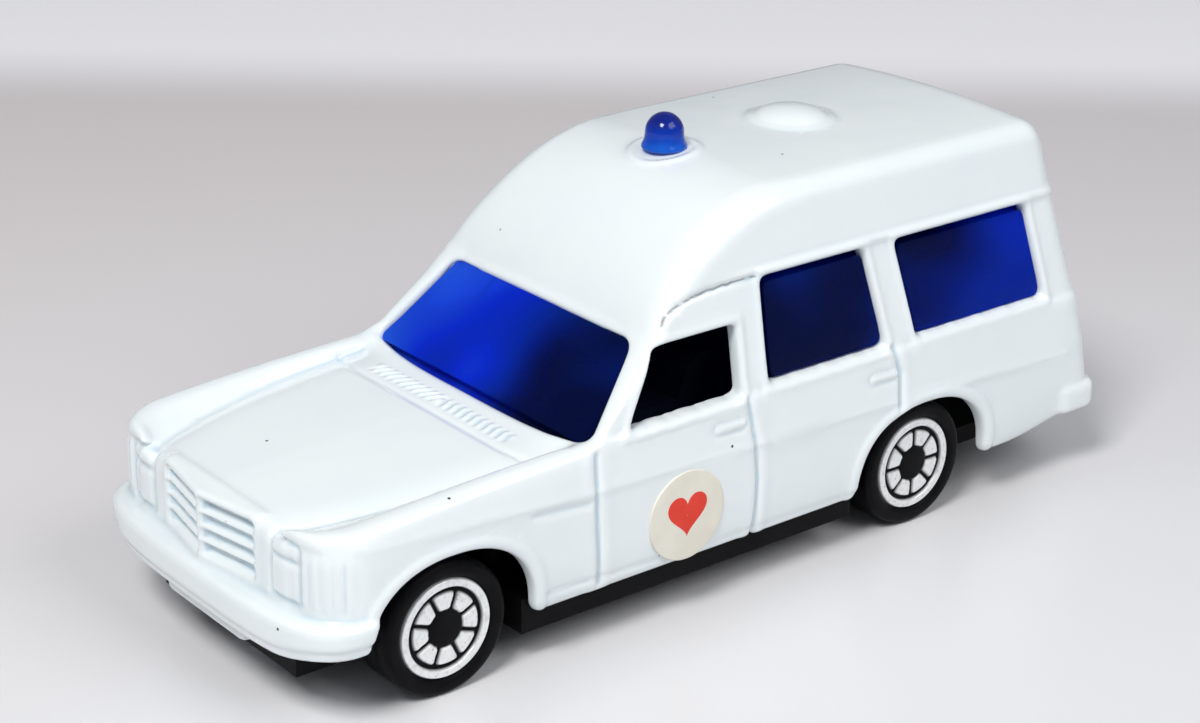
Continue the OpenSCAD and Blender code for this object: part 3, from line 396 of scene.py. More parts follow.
def field_mesh(name, f, most):
    """Object with the surface of a field and of its mirror image, in at most so many triangles."""
    full = np.concatenate([f[:, :0:-1, :], f], axis=1)
    full[[0, -1]] = full[:, [0, -1]] = full[:, :, [0, -1]] = STEP
    grid = openvdb.FloatGrid(5.0)
    grid.copyFromArray(np.ascontiguousarray(full))
    points, triangles, quads = grid.convertToPolygons(isovalue=0.0, adaptivity=MESH_ADAPTIVITY)
    shift = np.array([grid_low[0], -(f.shape[1] - 1), grid_low[2]])
    points = (points + shift) * STEP
    mesh = bpy.data.meshes.new(name)
    mesh.from_pydata((points * MM).tolist(), [], triangles.tolist() + quads.tolist())
    mesh.validate()
    obj = bpy.data.objects.new(name, mesh)
    bpy.context.scene.collection.objects.link(obj)
    count = sum(len(p.vertices) - 2 for p in mesh.polygons)
    if count > most:
        fewer = obj.modifiers.new("reduce", "DECIMATE")
        fewer.ratio = most / count
        depsgraph = bpy.context.evaluated_depsgraph_get()
        mesh = bpy.data.meshes.new_from_object(obj.evaluated_get(depsgraph))
        obj.modifiers.clear()
        obj.data = mesh
        mesh.name = name
    return obj


def field_object(name, f, most):
    """Smooth object of a field, whose points note hollows, edges and the crack for the enamel."""
    obj = field_mesh(name, f, most)
    mesh = obj.data
    co = np.zeros(len(mesh.vertices) * 3, np.float32)
    mesh.vertices.foreach_get("co", co)
    co = co.reshape(-1, 3) / MM
    normal = np.zeros_like(co)
    for axis in range(3):
        ahead, behind = co.copy(), co.copy()
        ahead[:, axis] += 0.7 * STEP
        behind[:, axis] -= 0.7 * STEP
        normal[:, axis] = sample(f, ahead) - sample(f, behind)
    normal /= np.maximum(np.linalg.norm(normal, axis=1, keepdims=True), 1e-9)
    mesh.polygons.foreach_set("use_smooth", [True] * len(mesh.polygons))
    mesh.normals_split_custom_set_from_vertices(normal.tolist())
    bulge = (sample(soften(f, 3), co) - sample(f, co)) / 0.05
    crack = line_relief(co[:, 0], co[:, 2], CRACK, CRACK_SHADE_WIDTH) * (np.abs(co[:, 1]) > SIDE_Y)
    # hollow and crack mark where the enamel gets painted shade; edge marks where it is worn.
    for key, value in (("hollow", -bulge), ("edge", bulge), ("crack", crack)):
        layer = mesh.attributes.new(key, "FLOAT", "POINT")
        layer.data.foreach_set("value", single(np.clip(value, 0, 1)))
    return obj


# Body casting. Reliefs are heights above the plain surface, in millimetres.

tail_in = (XZ_X - TAIL_X) * TAIL_COS - (XZ_Z - BELT_Z) * TAIL_SIN
tail_up = (XZ_X - TAIL_X) * TAIL_SIN + (XZ_Z - BELT_Z) * TAIL_COS

stations = np.concatenate([
    [NOSE_X + 1.6],
    NOSE_X - NOSE_TURN * np.linspace(0, 1, 26) ** 2,
    np.linspace(NOSE_X - NOSE_TURN, TAIL_X + TAIL_R, 150)[1:],
    TAIL_X + TAIL_R * (1 - np.linspace(0, 1, 18)[1:]) ** TAIL_EASE,
    [TAIL_X - TAIL_PAST]]).tolist()
lower = loft_distance([lower_ring(x, sill_line(x)) for x in stations])
lower_deep = loft_distance([lower_ring(x, -SILL_Z) for x in stations])
cabin = loft_distance([cabin_ring(p, CABIN_FOOT_Z) for p in roof_line()])
cabin_deep = loft_distance([cabin_ring(p, CABIN_FOOT_Z - 3) for p in roof_line()])

# Sides, in X and Z: outlines of the windows with their corner radii, and lines of points
SIDE_Y = 9.6
WINDOWS = (([(0.75, 15.85), (11.3, 15.85), (8.2, 21.1), (0.75, 21.1)], 0.35),
           ([(-13.95, 16.1), (-1.95, 16.1), (-1.95, 23.95), (-12.3, 23.95)], 0.45),
           ([(-31.55, 16.2), (-17.2, 16.2), (-15.55, 23.95), (-29.92, 23.95)], 0.45))
GUTTER = [(5.0, 24.2), (-1.0, 24.5), (-27.0, 24.5), (-33.4, 24.4)]
GUTTER_RISE, GUTTER_WIDTH = 0.24, 0.3
CRACK = [(7.45, 22.4), (7.05, 22.88), (6.55, 23.17), (5.9, 23.48), (5.2, 23.68), (4.5, 23.86),
         (3.8, 23.9), (3.1, 24.05), (2.4, 24.02), (1.6, 24.14), (1.2, 24.06), (0.7, 24.16),
         (-0.2, 24.18), (-1.4, 24.2)]
# The last is the width of the painted shade along the crack.
CRACK_DEPTH, CRACK_WIDTH, CRACK_SHADE_WIDTH = 0.32, 0.14, 0.13
DOOR_LINES = ([(14.55, 15.0), (14.6, 11.9), (14.45, 9.0), (14.2, 5.0)],
              [(0.35, 15.6), (0.3, 15.2), (-0.3, 11.8), (-0.6, 9.0), (-0.5, 4.4)],
              [(-14.4, 16.0), (-14.6, 15.7), (-15.2, 13.7), (-15.1, 11.0)])
DOOR_LINE_DEPTH, DOOR_LINE_WIDTH, DOOR_EDGE_RISE = 0.40, 0.17, 0.06
WINDOW_LIP_RISE = 0.15
ARCH_LIP_RISE = 0.20
BONNET_GAP = [(20.1, 12.0), (15.3, 11.6)]
CREASE = [(34.6, 13.5), (26.0, 13.05), (15.0, 12.35), (-5.0, 11.8), (-19.0, 11.5), (-34.0, 10.9)]
SILL_LINE = [(18.9, 5.7), (4.7, 5.1), (-11.0, 4.9)]
LAMP_EDGE = [(35.3, 9.2), (35.3, 12.6)]
SIDE_LINES = ((BONNET_GAP, -0.16, 0.25), (CREASE, 0.10, 0.3), (SILL_LINE, -0.14, 0.2),
              (LAMP_EDGE, -0.10, 0.2))  # points, height, width
HANDLES_X, HANDLE_Z, HANDLE_L = (1.05, -14.55), 13.95, 2.3
HANDLE_RISE, HANDLE_DIP = 0.13, 0.11


def arch_distance():
    """Signed distance to the wheel arches, which are a little squarer than an ellipse."""
    power = 2.25

    def to_arch(x, rise):
        u, v = (XZ_X - x) / ARCH_HALF, np.maximum(XZ_Z - AXLE_Z, 0) / rise
        return ((np.abs(u) ** power + v ** power) ** (1 / power) - 1) * rise
    return reduce(np.minimum, (to_arch(x, rise) for x, rise in ARCHES))


def window_distance():
    """Signed distance to the side windows, whose lower edges waver."""
    waver = (0.025 * np.sin(2.3 * XZ_X + 0.4)
             + 0.03 * np.sin(5.3 * XZ_X + 1.3) * np.sin(1.1 * XZ_X))
    windows = (outline_distance(XZ_X, XZ_Z, points, r) for points, r in WINDOWS)
    return reduce(np.minimum, windows) + waver * ease((18.5 - XZ_Z) / 2)


def side_relief():
    """Gutter, crack, door lines, lips, crease and handles."""
    out = (GUTTER_RISE * line_relief(XZ_X, XZ_Z, GUTTER, GUTTER_WIDTH)
           * ease((3.5 - XZ_X) / 6))
    out = out - (CRACK_DEPTH * line_relief(XZ_X, XZ_Z, CRACK, CRACK_WIDTH)
                 * ease((7.4 - XZ_X) / 1.2))
    for points in DOOR_LINES:
        out = out - DOOR_LINE_DEPTH * line_relief(XZ_X, XZ_Z, points, DOOR_LINE_WIDTH)
        out = out + DOOR_EDGE_RISE * band(line_distance(XZ_X, XZ_Z, points), 0.3, 1.1, 0.4)
    out = out + WINDOW_LIP_RISE * band(window, 0.1, 0.65, 0.25)
    out = out + ARCH_LIP_RISE * band(arch, -0.2, 0.85, 0.35)
    for points, height, width in SIDE_LINES:
        out = out + height * line_relief(XZ_X, XZ_Z, points, width)
    for x in HANDLES_X:
        d = line_distance(XZ_X, XZ_Z, [(x, HANDLE_Z), (x + HANDLE_L, HANDLE_Z)])
        out = out + HANDLE_RISE * ease((0.38 - d) / 0.18) - HANDLE_DIP * band(d, 0.33, 0.58, 0.16)
    return out


# Front panel, in Y and Z, and the fluted lamps at its corners, in X and Y
HEADLAMP = (7.6, 11.1, 8.7, 13.5)  # ends across, then heights
HEADLAMP_DEPTH = 0.20
LENS_ACROSS = (8.0, 10.75)
LENS_HEIGHTS = ((9.15, 11.8), (12.15, 13.05))
LENS_RISE, LENS_RIB, LENS_RIB_PITCH = 0.30, 0.04, 0.44
FLUTE_RISE, FLUTE_PITCH, FLUTE_FIRST = 0.17, 12.0, 6  # the last two in degrees


def front_relief():
    """Sunk headlamp panels with ribbed lenses, and the lip of the bonnet over them."""
    out = -HEADLAMP_DEPTH * inside(box_distance(YZ_Y, YZ_Z, *HEADLAMP, 0.4), 0.2)
    ribs = LENS_RIB * np.cos(2 * math.pi * YZ_Y / LENS_RIB_PITCH)
    for low, high in LENS_HEIGHTS:
        lens = inside(box_distance(YZ_Y, YZ_Z, *LENS_ACROSS, low, high, 0.3), 0.22)
        out = out + lens * (LENS_RISE + ribs)
    return out + 0.12 * band(YZ_Z, 13.55, 14.3, 0.3)


def flute_relief():
    ahead, out_by = XY_X - (NOSE_X - NOSE_TURN), XY_Y - NOSE_HALF
    turn = np.degrees(np.arctan2(out_by / (BODY_HALF - NOSE_HALF), ahead / NOSE_TURN))
    wave = 0.5 + 0.5 * np.cos(2 * math.pi * (turn - FLUTE_FIRST) / FLUTE_PITCH)
    return np.where((ahead > -1) & (out_by > -1), FLUTE_RISE * wave * band(turn, 14, 66, 8), 0)


# Bonnet and roof, in X and Y
BONNET_END = [(19.3, 0), (19.2, 9.0), (18.6, 12.0)]
LOUVRE_X, LOUVRE_HALF, LOUVRE_END_Y, LOUVRE_PITCH = 17.75, 0.68, 8.4, 0.84
LOUVRE_SLANT = math.tan(math.radians(25))


def top_relief():
    """Lines along and across the bonnet, and the slanted louvres behind it."""
    valley = [(valley_half(x), x) for x in np.linspace(16.5, 36.4, 24).tolist()]
    out = -0.16 * line_relief(XY_Y, XY_X, valley, 0.26)
    out = out - 0.16 * line_relief(XY_X, XY_Y, BONNET_END, 0.18)
    slant = XY_Y - (XY_X - LOUVRE_X) * LOUVRE_SLANT
    rib = ease((np.cos(2 * math.pi * slant / LOUVRE_PITCH) + 0.3) / 0.6)
    place = (ease((LOUVRE_HALF - np.abs(XY_X - LOUVRE_X)) / 0.2)
             * ease((LOUVRE_END_Y - XY_Y) / 0.3))
    return out + (0.36 * rib - 0.16) * place


def roof_relief():
    """Ring round the beacon and the flange of the vent."""
    ring, vent = np.hypot(XY_X - BEACON_X, XY_Y), np.hypot(XY_X - VENT_X, XY_Y)
    out = 0.16 * band(ring, 2.35, 2.85, 0.25) + 0.12 * inside(vent - VENT_R - 0.5, 0.25)
    return out + 0.06 * inside(ring - 2.6, 0.3)


def vent_dome():
    height = 1.0
    across = on_top(np.hypot(XY_X - VENT_X, XY_Y) / VENT_R)
    return (np.sqrt(across ** 2 + ((Z - ROOF_Z) / height) ** 2) - 1) * height


# Bumpers: heights of the front one's edges at the middle, and how far each wraps round
BUMPER_LOW, BUMPER_MID, BUMPER_TOP = 5.35, 6.05, 8.4
BUMPER_END_RISE = 0.6
BUMPER_WRAP, BUMPER_HALF = 5.9, 15.1
REAR_BUMPER_Z, REAR_BUMPER_WRAP, REAR_BUMPER_HALF = 6.6, 2.8, 14.8
BUMPER_POWER = 3.5
PLATE_HALF, PLATE_Z, PLATE_HALF_Z = 5.2, 5.4, 1.4
VALANCE = (-9.3, 9.3, 4.05, 7.5)  # ends across, then heights
VALANCE_X = -36.9
REAR_END_X = -37.8


def bumper_plan(x, wrap, half):
    """Signed distance to a bumper's outer edge, seen from above."""
    ahead = np.maximum(x - (FRONT_X - wrap), 0) / wrap
    s = ((XY_Y / half) ** BUMPER_POWER + ahead ** BUMPER_POWER) ** (1 / BUMPER_POWER)
    gx, gy = np.gradient(s, STEP)
    return np.clip((s - 1) / np.maximum(np.hypot(gx, gy), 0.02), -3, 3)


def bumper_layer(plan, low, high, r):
    return thick_distance(on_top(plan), on_front(np.abs(YZ_Z - (low + high) / 2)),
                          on_front((high - low) / 2), r)


def bumpers():
    """Front bar with its lower lip and bare plate, and the rear bar."""
    rise = BUMPER_END_RISE * ease((YZ_Y - 9.5) / 5)
    low, mid = BUMPER_LOW + rise, BUMPER_MID + rise
    plan = np.where(XY_X > 20, bumper_plan(XY_X, BUMPER_WRAP, BUMPER_HALF), 3)
    bar = bumper_layer(plan, mid, BUMPER_TOP, 0.5)
    lip = bumper_layer(plan + 0.3, low, mid + 0.5, 0.3)
    plate = smooth_max(X - (NOSE_X + 0.85), Y - PLATE_HALF, 0.5)
    plate = smooth_max(plate, np.abs(Z - PLATE_Z) - PLATE_HALF_Z, 0.5)
    plate = np.maximum(plate, NOSE_X - 1.0 - X)
    front = smooth_min(smooth_min(bar, lip, 0.12), plate, 0.25)
    plan = np.where(XY_X < -20, bumper_plan(-XY_X, REAR_BUMPER_WRAP, REAR_BUMPER_HALF), 3)
    rear = thick_distance(on_top(plan), np.abs(Z - REAR_BUMPER_Z), 1.2, 0.5)
    return np.minimum(np.maximum(front, 31.0 - X), smooth_max(rear, X + 33.6, 1.2))


def valance():
    panel = box_distance(YZ_Y, YZ_Z, *VALANCE, 0.5)
    return thick_distance(on_front(panel), np.abs(X - VALANCE_X), 0.75, 0.3)


# Grille, with a point in its middle
GRILLE_POINT, GRILLE_HALF = 1.0, 5.75
GRILLE_Z, GRILLE_HALF_Z = 11.1, 2.65
GRILLE_OPENING = (-5.72, 5.72, 8.95, 13.25)  # ends across, then heights
GRILLE_DEPTH, SLAT_RISE = 0.66, 0.58
SLATS_Z = (8.9, 10.0, 11.1, 12.2, 13.3)


def grille_block():
    wedge = X - (NOSE_X + 0.1 + GRILLE_POINT * (1 - Y / GRILLE_HALF))
    wedge = np.maximum(smooth_max(wedge, Y - GRILLE_HALF - 0.45, 0.4), NOSE_X - 1.2 - X)
    return smooth_max(wedge, np.abs(Z - GRILLE_Z) - GRILLE_HALF_Z, 0.5)


def grille_relief():
    """Sunk opening with slats across it and a bar down its middle."""
    slats = reduce(np.maximum, (ease((0.30 - np.abs(YZ_Z - z)) / 0.2) for z in SLATS_Z))
    slats = np.maximum(slats, ease((0.38 - YZ_Y) / 0.2))
    opening = inside(box_distance(YZ_Y, YZ_Z, *GRILLE_OPENING, 0.25), 0.18)
    return (SLAT_RISE * slats - GRILLE_DEPTH) * opening


# Tail lamps, openings and rivet posts
TAIL_LAMP_Y, TAIL_LAMP_HALF_Y = 11.9, 0.5
TAIL_LAMP_Z, TAIL_LAMP_HALF_Z = 10.3, 1.5
TAIL_LAMP_R = 0.85
SILL_CUT_Z = 4.05
SCREEN_HALVES = (13.15, 10.7)  # at its foot and at its top
SCREEN_FOOT_UP, SCREEN_TOP_UP, SCREEN_TAPER_L = 0.35, 8.66, 8.525  # along its slope
POSTS_X = (33.1, -35.13)


def tail_lamps():
    x = TAIL_X + 0.55 + TAIL_TAN * (Z - BELT_Z)
    across = np.maximum(np.abs(Y - TAIL_LAMP_Y) - TAIL_LAMP_HALF_Y, 0)
    up = np.maximum(np.abs(Z - TAIL_LAMP_Z) - TAIL_LAMP_HALF_Z, 0)
    return np.sqrt((X - x) ** 2 + across ** 2 + up ** 2) - TAIL_LAMP_R


def below_distance():
    """Signed distance to the wheel arches and the space under the sill."""
    under = np.where(np.abs(XZ_X) < 30, XZ_Z - SILL_CUT_Z, 5.0)
    return smooth_min(arch, under, 1.2)


def screen_distance():
    """Signed distance to the windscreen's opening, whose lower edge bows."""
    slope = math.sqrt(0.5)
    up = (SCREEN_X - XZ_X) * slope + (XZ_Z - SCREEN_FOOT_Z) * slope
    out = (XZ_X - SCREEN_X) * slope + (XZ_Z - SCREEN_FOOT_Z) * slope
    foot_half, top_half = SCREEN_HALVES
    half = foot_half + (up - SCREEN_FOOT_UP) * (top_half - foot_half) / SCREEN_TAPER_L
    low = -0.25 + 0.8 * (Y / 12.5) ** 4
    screen = smooth_max(Y - on_side(half), low - on_side(up), 0.9)
    screen = smooth_max(screen, on_side(up - SCREEN_TOP_UP), 1.1)
    return np.maximum(screen, on_side(np.abs(out) - 3))


def gate_hole():
    hole = box_distance(Y, on_side(tail_up), -GATE_HALF - 0.2, GATE_HALF + 0.2,
                        GATE_LOW - 0.2, GATE_UP + 0.9, 1.0)
    return np.maximum(hole, on_side(np.abs(tail_in) - 5))


def rivet_post(x):
    """Post of the casting with its foot above the base and its head below."""
    r = on_top(np.hypot(XY_X - x, XY_Y))
    parts = ((1.5, 4.7, 2.3), (2.2, 2.7, 0.3), (2.2, 5.6, 1.55))  # radius, middle, half height
    return reduce(np.minimum, (np.maximum(r - radius, np.abs(Z - z) - half)
                               for radius, z, half in parts))


arch = arch_distance()
window = window_distance()
body = smooth_min(smooth_max(lower, X - NOSE_X, 1.0), cabin, 0.7)
body = smooth_max(body, on_side(-tail_in), 1.0)
body = body - on_side(single(side_relief())) * ease((Y - SIDE_Y) / 0.8)
body = body - on_front(single(front_relief())) * ease((X - 35.9) / 0.6)
body = body - on_top(single(flute_relief())) * band(Z, 9.2, 12.9, 0.8)
body = body - on_top(single(top_relief())) * ease((Z - 12.6) / 0.6) * ease((16.6 - Z) / 0.4)
body = body - on_top(single(roof_relief())) * ease((Z - 29.2) / 0.6)
body = smooth_min(body, single(vent_dome()), 0.25)
body = smooth_max(body, REAR_END_X - X, 0.8)
body = smooth_min(body, single(valance()), 0.3)
body = smooth_min(body, single(bumpers()), 0.35)
body = smooth_min(body, single(grille_block()), 0.3)
body = body - on_front(single(grille_relief())) * ease((X - 36.4) / 0.3)
body = smooth_min(body, single(tail_lamps()), 0.3)
body = smooth_max(body, on_side(-below_distance()), 0.5)
body = smooth_max(body, -np.maximum(on_side(window), 8 - Y), 0.4)
body = smooth_max(body, -screen_distance(), 0.45)
body = smooth_max(body, -gate_hole(), 0.35)
tail_skin = on_side(TAIL_WALL - tail_in)
lower_hollow = np.maximum(lower_deep + WALL, np.maximum(X - (NOSE_X - NOSE_WALL), tail_skin))
cabin_hollow = np.maximum(cabin_deep + WALL, tail_skin)
body = np.maximum(np.maximum(body, -lower_hollow), -cabin_hollow)
for post_x in POSTS_X:
    body = np.minimum(body, single(rivet_post(post_x)))

body = soften(single(body), 2)
body_object = field_object("body_enamel", body, BODY_TRIANGLES)
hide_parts("body_shell")
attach(body_object, "car")

# Tailgate, in the leaning axes of the tail
PIN_R, PIN_OUT = 0.36, 0.8
GRIP_HALF, GRIP_UP = 2.5, 1.4
PANE = (-8.5, 8.5, (16.6 - BELT_Z) / TAIL_COS, GATE_UP - 2.3)


def tailgate():
    """Leaf with a hinge barrel and pins, a finger lip and a framed opening."""
    into, up = on_side(tail_in), on_side(tail_up)
    gate = box_distance(Y, up, -GATE_HALF, GATE_HALF, GATE_LOW, GATE_UP, 1.2)
    gate = smooth_max(gate, np.abs(into - GATE_T / 2) - GATE_T / 2, 0.35)
    barrel = np.hypot(into - GATE_T / 2, up - GATE_UP)
    gate = smooth_min(gate, np.maximum(barrel - GATE_T / 2, Y - GATE_HALF), 0.2)
    gate = np.minimum(gate, np.maximum(barrel - PIN_R, Y - (GATE_HALF + PIN_OUT)))
    grip = np.maximum(np.abs(into + 0.1) - 0.45, np.abs(up - GATE_LOW - GRIP_UP) - 0.38)
    gate = smooth_min(gate, np.maximum(grip, Y - GRIP_HALF), 0.25)
    pane = box_distance(Y, up, *PANE, 0.9)
    gate = gate - 0.16 * band(pane, 0.12, 0.8, 0.3) * ease((0.7 - into) / 0.3)
    return smooth_max(gate, -pane, 0.3)


gate_object = field_object("tailgate_enamel", soften(single(tailgate()), 1), GATE_TRIANGLES)
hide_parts("tailgate")
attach(gate_object, "tail_door")


# Materials. Noise scales are per metre and bump distances in metres.

class Paint:
    """A material, with short ways to add nodes to it."""

    def __init__(self, name):
        self.material = bpy.data.materials.new(name)
        self.material.use_nodes = True
        self.nodes = self.material.node_tree.nodes
        self.shader = self.nodes["Principled BSDF"]
        self.place = self.nodes.new("ShaderNodeTexCoord").outputs["Object"]

    def link(self, source, socket):
        self.material.node_tree.links.new(source, socket)

    def drive(self, socket, source):
        self.link(source, self.shader.inputs[socket])

    def hold(self, socket, value):
        self.shader.inputs[socket].default_value = value

    def noise(self, scale, detail):
        node = self.nodes.new("ShaderNodeTexNoise")
        node.inputs["Scale"].default_value = scale
        node.inputs["Detail"].default_value = detail
        node.inputs["Roughness"].default_value = 0.55
        self.link(self.place, node.inputs["Vector"])
        return node.outputs["Fac"]

    def specks(self, scale):
        node = self.nodes.new("ShaderNodeTexVoronoi")
        node.inputs["Scale"].default_value = scale
        self.link(self.place, node.inputs["Vector"])
        return node.outputs["Distance"]

    def attribute(self, name):
        node = self.nodes.new("ShaderNodeAttribute")
        node.attribute_name = name
        return node.outputs["Fac"]

    def along(self, direction):
        node = self.nodes.new("ShaderNodeVectorMath")
        node.operation = "DOT_PRODUCT"
        node.inputs[1].default_value = direction
        self.link(self.place, node.inputs[0])
        return node.outputs["Value"]

    def ramp(self, source, stops):
        node = self.nodes.new("ShaderNodeValToRGB")
        points = node.color_ramp.elements
        while len(points) < len(stops):
            points.new(0.5)
        for point, (at, colour) in zip(points, stops):
            point.position = at
            point.color = (*colour, 1)
        self.link(source, node.inputs["Fac"])
        return node.outputs["Color"]

    def layered(self, factor, under, over):
        """A colour socket under a plain colour or another socket."""
        node = self.nodes.new("ShaderNodeMix")
        node.data_type = "RGBA"
        self.link(factor, node.inputs["Factor"])
        self.link(under, node.inputs["A"])
        if isinstance(over, tuple):
            node.inputs["B"].default_value = (*over, 1)
        else:
            self.link(over, node.inputs["B"])
        return node.outputs["Result"]

    def remap(self, source, a, b, low, high, kind="LINEAR"):
        node = self.nodes.new("ShaderNodeMapRange")
        node.interpolation_type = kind
        node.inputs["From Min"].default_value = a
        node.inputs["From Max"].default_value = b
        node.inputs["To Min"].default_value = low
        node.inputs["To Max"].default_value = high
        self.link(source, node.inputs["Value"])
        return node.outputs["Result"]

    def combine(self, operation, a, b):
        node = self.nodes.new("ShaderNodeMath")
        node.operation = operation
        self.link(a, node.inputs[0])
        self.link(b, node.inputs[1])
        return node.outputs["Value"]

    def bump(self, *parts):
        """Chain of bumps, each a height, its strength and its distance."""
        last = None
        for height, strength, distance in parts:
            node = self.nodes.new("ShaderNodeBump")
            node.inputs["Strength"].default_value = strength
            node.inputs["Distance"].default_value = distance
            self.link(height, node.inputs["Height"])
            if last is not None:
                self.link(last, node.inputs["Normal"])
            last = node.outputs["Normal"]
        self.drive("Normal", last)


ENAMEL_TONES = [(0.3, (0.785, 0.85, 0.87)), (0.7, (0.815, 0.865, 0.88))]
# Cool blue painted shade for hollows in the paint
ENAMEL_HOLLOW_SHADE = (0.42, 0.57, 0.68)
ENAMEL_WORN = (0.30, 0.30, 0.30)
# Near-black painted shade inside the crack groove
ENAMEL_CRACK_SHADE = (0.10, 0.09, 0.09)
ENAMEL_BARE = (0.045, 0.042, 0.040)
# Glazing blues, and the slant along which painted light lightens them
GLASS_TONES = [(0.0, (0.001, 0.02, 0.24)), (0.25, (0.002, 0.04, 0.52)),
               (0.5, (0.002, 0.03, 0.75)), (0.8, (0.02, 0.12, 0.85))]
GLASS_LIGHT_SLOPE = (-8, -44, 0)
# Beacon blues; the lightest stands for painted light at the foot
BEACON_TONES = [(0.1, (0.001, 0.012, 0.24)), (0.5, (0.002, 0.05, 0.55)),
                (0.9, (0.008, 0.16, 0.88))]
STEEL_TONES = [(0.3, (0.46, 0.47, 0.48)), (0.7, (0.62, 0.62, 0.62))]
WHEEL_BLACKS = [(0.3, (0.003, 0.003, 0.0035)), (0.75, (0.007, 0.007, 0.008))]
FOIL_TONES = [(0.25, (0.66, 0.67, 0.67)), (0.5, (0.90, 0.91, 0.91))]
PLASTIC_SPECULAR = 0.06


def enamel():
    """White paint: painted shade makes it bluer in hollows and dark in the crack groove; it is
    worn at edges and dark at bare specks.
    """
    p = Paint("white_enamel_paint")
    wide, fine, grit = p.noise(160, 2), p.noise(1500, 3), p.noise(5200, 2)
    # Painted shade: the paint turns bluer where the surface is hollow.
    hollow_shade = p.remap(p.attribute("hollow"), 0.12, 1.0, 0.0, 0.62)
    colour = p.layered(hollow_shade, p.ramp(wide, ENAMEL_TONES), ENAMEL_HOLLOW_SHADE)
    worn = p.combine("MULTIPLY", p.remap(p.attribute("edge"), 0.55, 1.0, 0.0, 1.0),
                     p.remap(fine, 0.71, 0.75, 0.0, 0.6))
    colour = p.layered(worn, colour, ENAMEL_WORN)
    # Painted shade: the crack groove is coloured near black.
    crack_shade = p.remap(p.attribute("crack"), 0.4, 1.0, 0.0, 0.75)
    colour = p.layered(crack_shade, colour, ENAMEL_CRACK_SHADE)
    bare = p.remap(p.specks(260), 0.022, 0.038, 1.0, 0.0)
    p.drive("Base Color", p.layered(bare, colour, ENAMEL_BARE))
    p.drive("Roughness", p.remap(wide, 0.3, 0.7, 0.14, 0.24))
    p.hold("Coat Weight", 0.5)
    p.hold("Coat Roughness", 0.05)
    p.bump((wide, 0.10, 0.0006), (fine, 0.06, 0.0001), (grit, 0.03, 0.00003))
    return p.material


def moulded(name, dark, light, rough, grain):
    """Plain moulded plastic with a faint grain and handling marks."""
    p = Paint(name)
    wide, fine = p.noise(220, 3), p.noise(grain, 4)
    p.drive("Base Color", p.ramp(wide, [(0.3, dark), (0.75, light)]))
    p.drive("Roughness", p.remap(fine, 0.3, 0.7, rough - 0.06, rough + 0.08))
    p.hold("Specular IOR Level", PLASTIC_SPECULAR)
    p.bump((wide, 0.08, 0.0003), (fine, 0.12, 0.00004))
    return p.material


def glazing():
    """Tinted clear plastic, uneven in thickness, with painted light that lightens it along a slant
    across the car towards its right side.
    """
    p = Paint("blue_tinted_glazing")
    wide, fine = p.noise(80, 1), p.noise(900, 3)
    # Painted light lightens the tint along the slant; the noise makes it uneven.
    tint_and_light = p.combine("ADD", p.along(GLASS_LIGHT_SLOPE), p.remap(wide, 0.3, 0.7, 0.24, 0.80))
    p.drive("Base Color", p.ramp(tint_and_light, GLASS_TONES))
    p.drive("Roughness", p.remap(fine, 0.3, 0.75, 0.015, 0.05))
    p.drive("Transmission Weight", p.remap(tint_and_light, 0.0, 0.5, 0.88, 0.40))
    p.hold("IOR", 1.16)
    p.hold("Specular IOR Level", 0.22)
    p.bump((wide, 0.12, 0.0008))
    return p.material


def beacon_material():
    """Blue clear plastic with painted light that makes it lightest at its foot."""
    p = Paint("blue_beacon_plastic")
    wide, fine = p.noise(300, 2), p.noise(1400, 3)
    # Painted light: the lens is coloured lighter towards its foot.
    foot = p.remap(p.along((0, 0, 1)), (ROOF_Z + 2.3) * MM, (ROOF_Z + 0.3) * MM, 0.0, 0.8)
    tint_and_light = p.combine("ADD", foot, p.remap(wide, 0.3, 0.7, 0.0, 0.2))
    p.drive("Base Color", p.ramp(tint_and_light, BEACON_TONES))
    p.drive("Roughness", p.remap(fine, 0.3, 0.7, 0.08, 0.14))
    p.hold("Transmission Weight", 0.45)
    p.hold("IOR", 1.42)
    p.bump((fine, 0.05, 0.00005))
    return p.material


def steel():
    p = Paint("axle_steel_bright")
    fine = p.noise(2600, 4)
    p.drive("Base Color", p.ramp(fine, STEEL_TONES))
    p.drive("Roughness", p.remap(fine, 0.3, 0.7, 0.22, 0.4))
    p.hold("Metallic", 1.0)
    p.bump((fine, 0.1, 0.00003))
    return p.material


def wheel_material():
    """Black plastic with silver foil, a little broken, on the faces noted as foil."""
    p = Paint("wheel_plastic_foil")
    fine, speck, wide = p.noise(2400, 4), p.noise(5200, 2), p.noise(500, 3)
    kept = p.remap(speck, 0.25, 0.33, 0.35, 1.0)
    foil = p.combine("MULTIPLY", p.attribute("foil"), kept)
    p.drive("Base Color", p.layered(foil, p.ramp(wide, WHEEL_BLACKS), p.ramp(fine, FOIL_TONES)))
    p.drive("Metallic", p.remap(foil, 0.0, 1.0, 0.0, 0.45))
    p.drive("Roughness", p.remap(fine, 0.3, 0.7, 0.30, 0.44))
    p.hold("Specular IOR Level", PLASTIC_SPECULAR)
    p.bump((wide, 0.12, 0.0002), (fine, 0.16, 0.00005))
    return p.material


def paper(name, dark, light):
    p = Paint(name)
    wide, fine = p.noise(420, 3), p.noise(3600, 3)
    p.drive("Base Color", p.ramp(wide, [(0.3, dark), (0.7, light)]))
    p.drive("Roughness", p.remap(fine, 0.3, 0.7, 0.38, 0.5))
    p.hold("Specular IOR Level", 0.25)
    p.bump((fine, 0.15, 0.00003))
    return p.material


def dress(obj, *materials):
    obj.data.materials.clear()
    for mat in materials:
        obj.data.materials.append(mat)


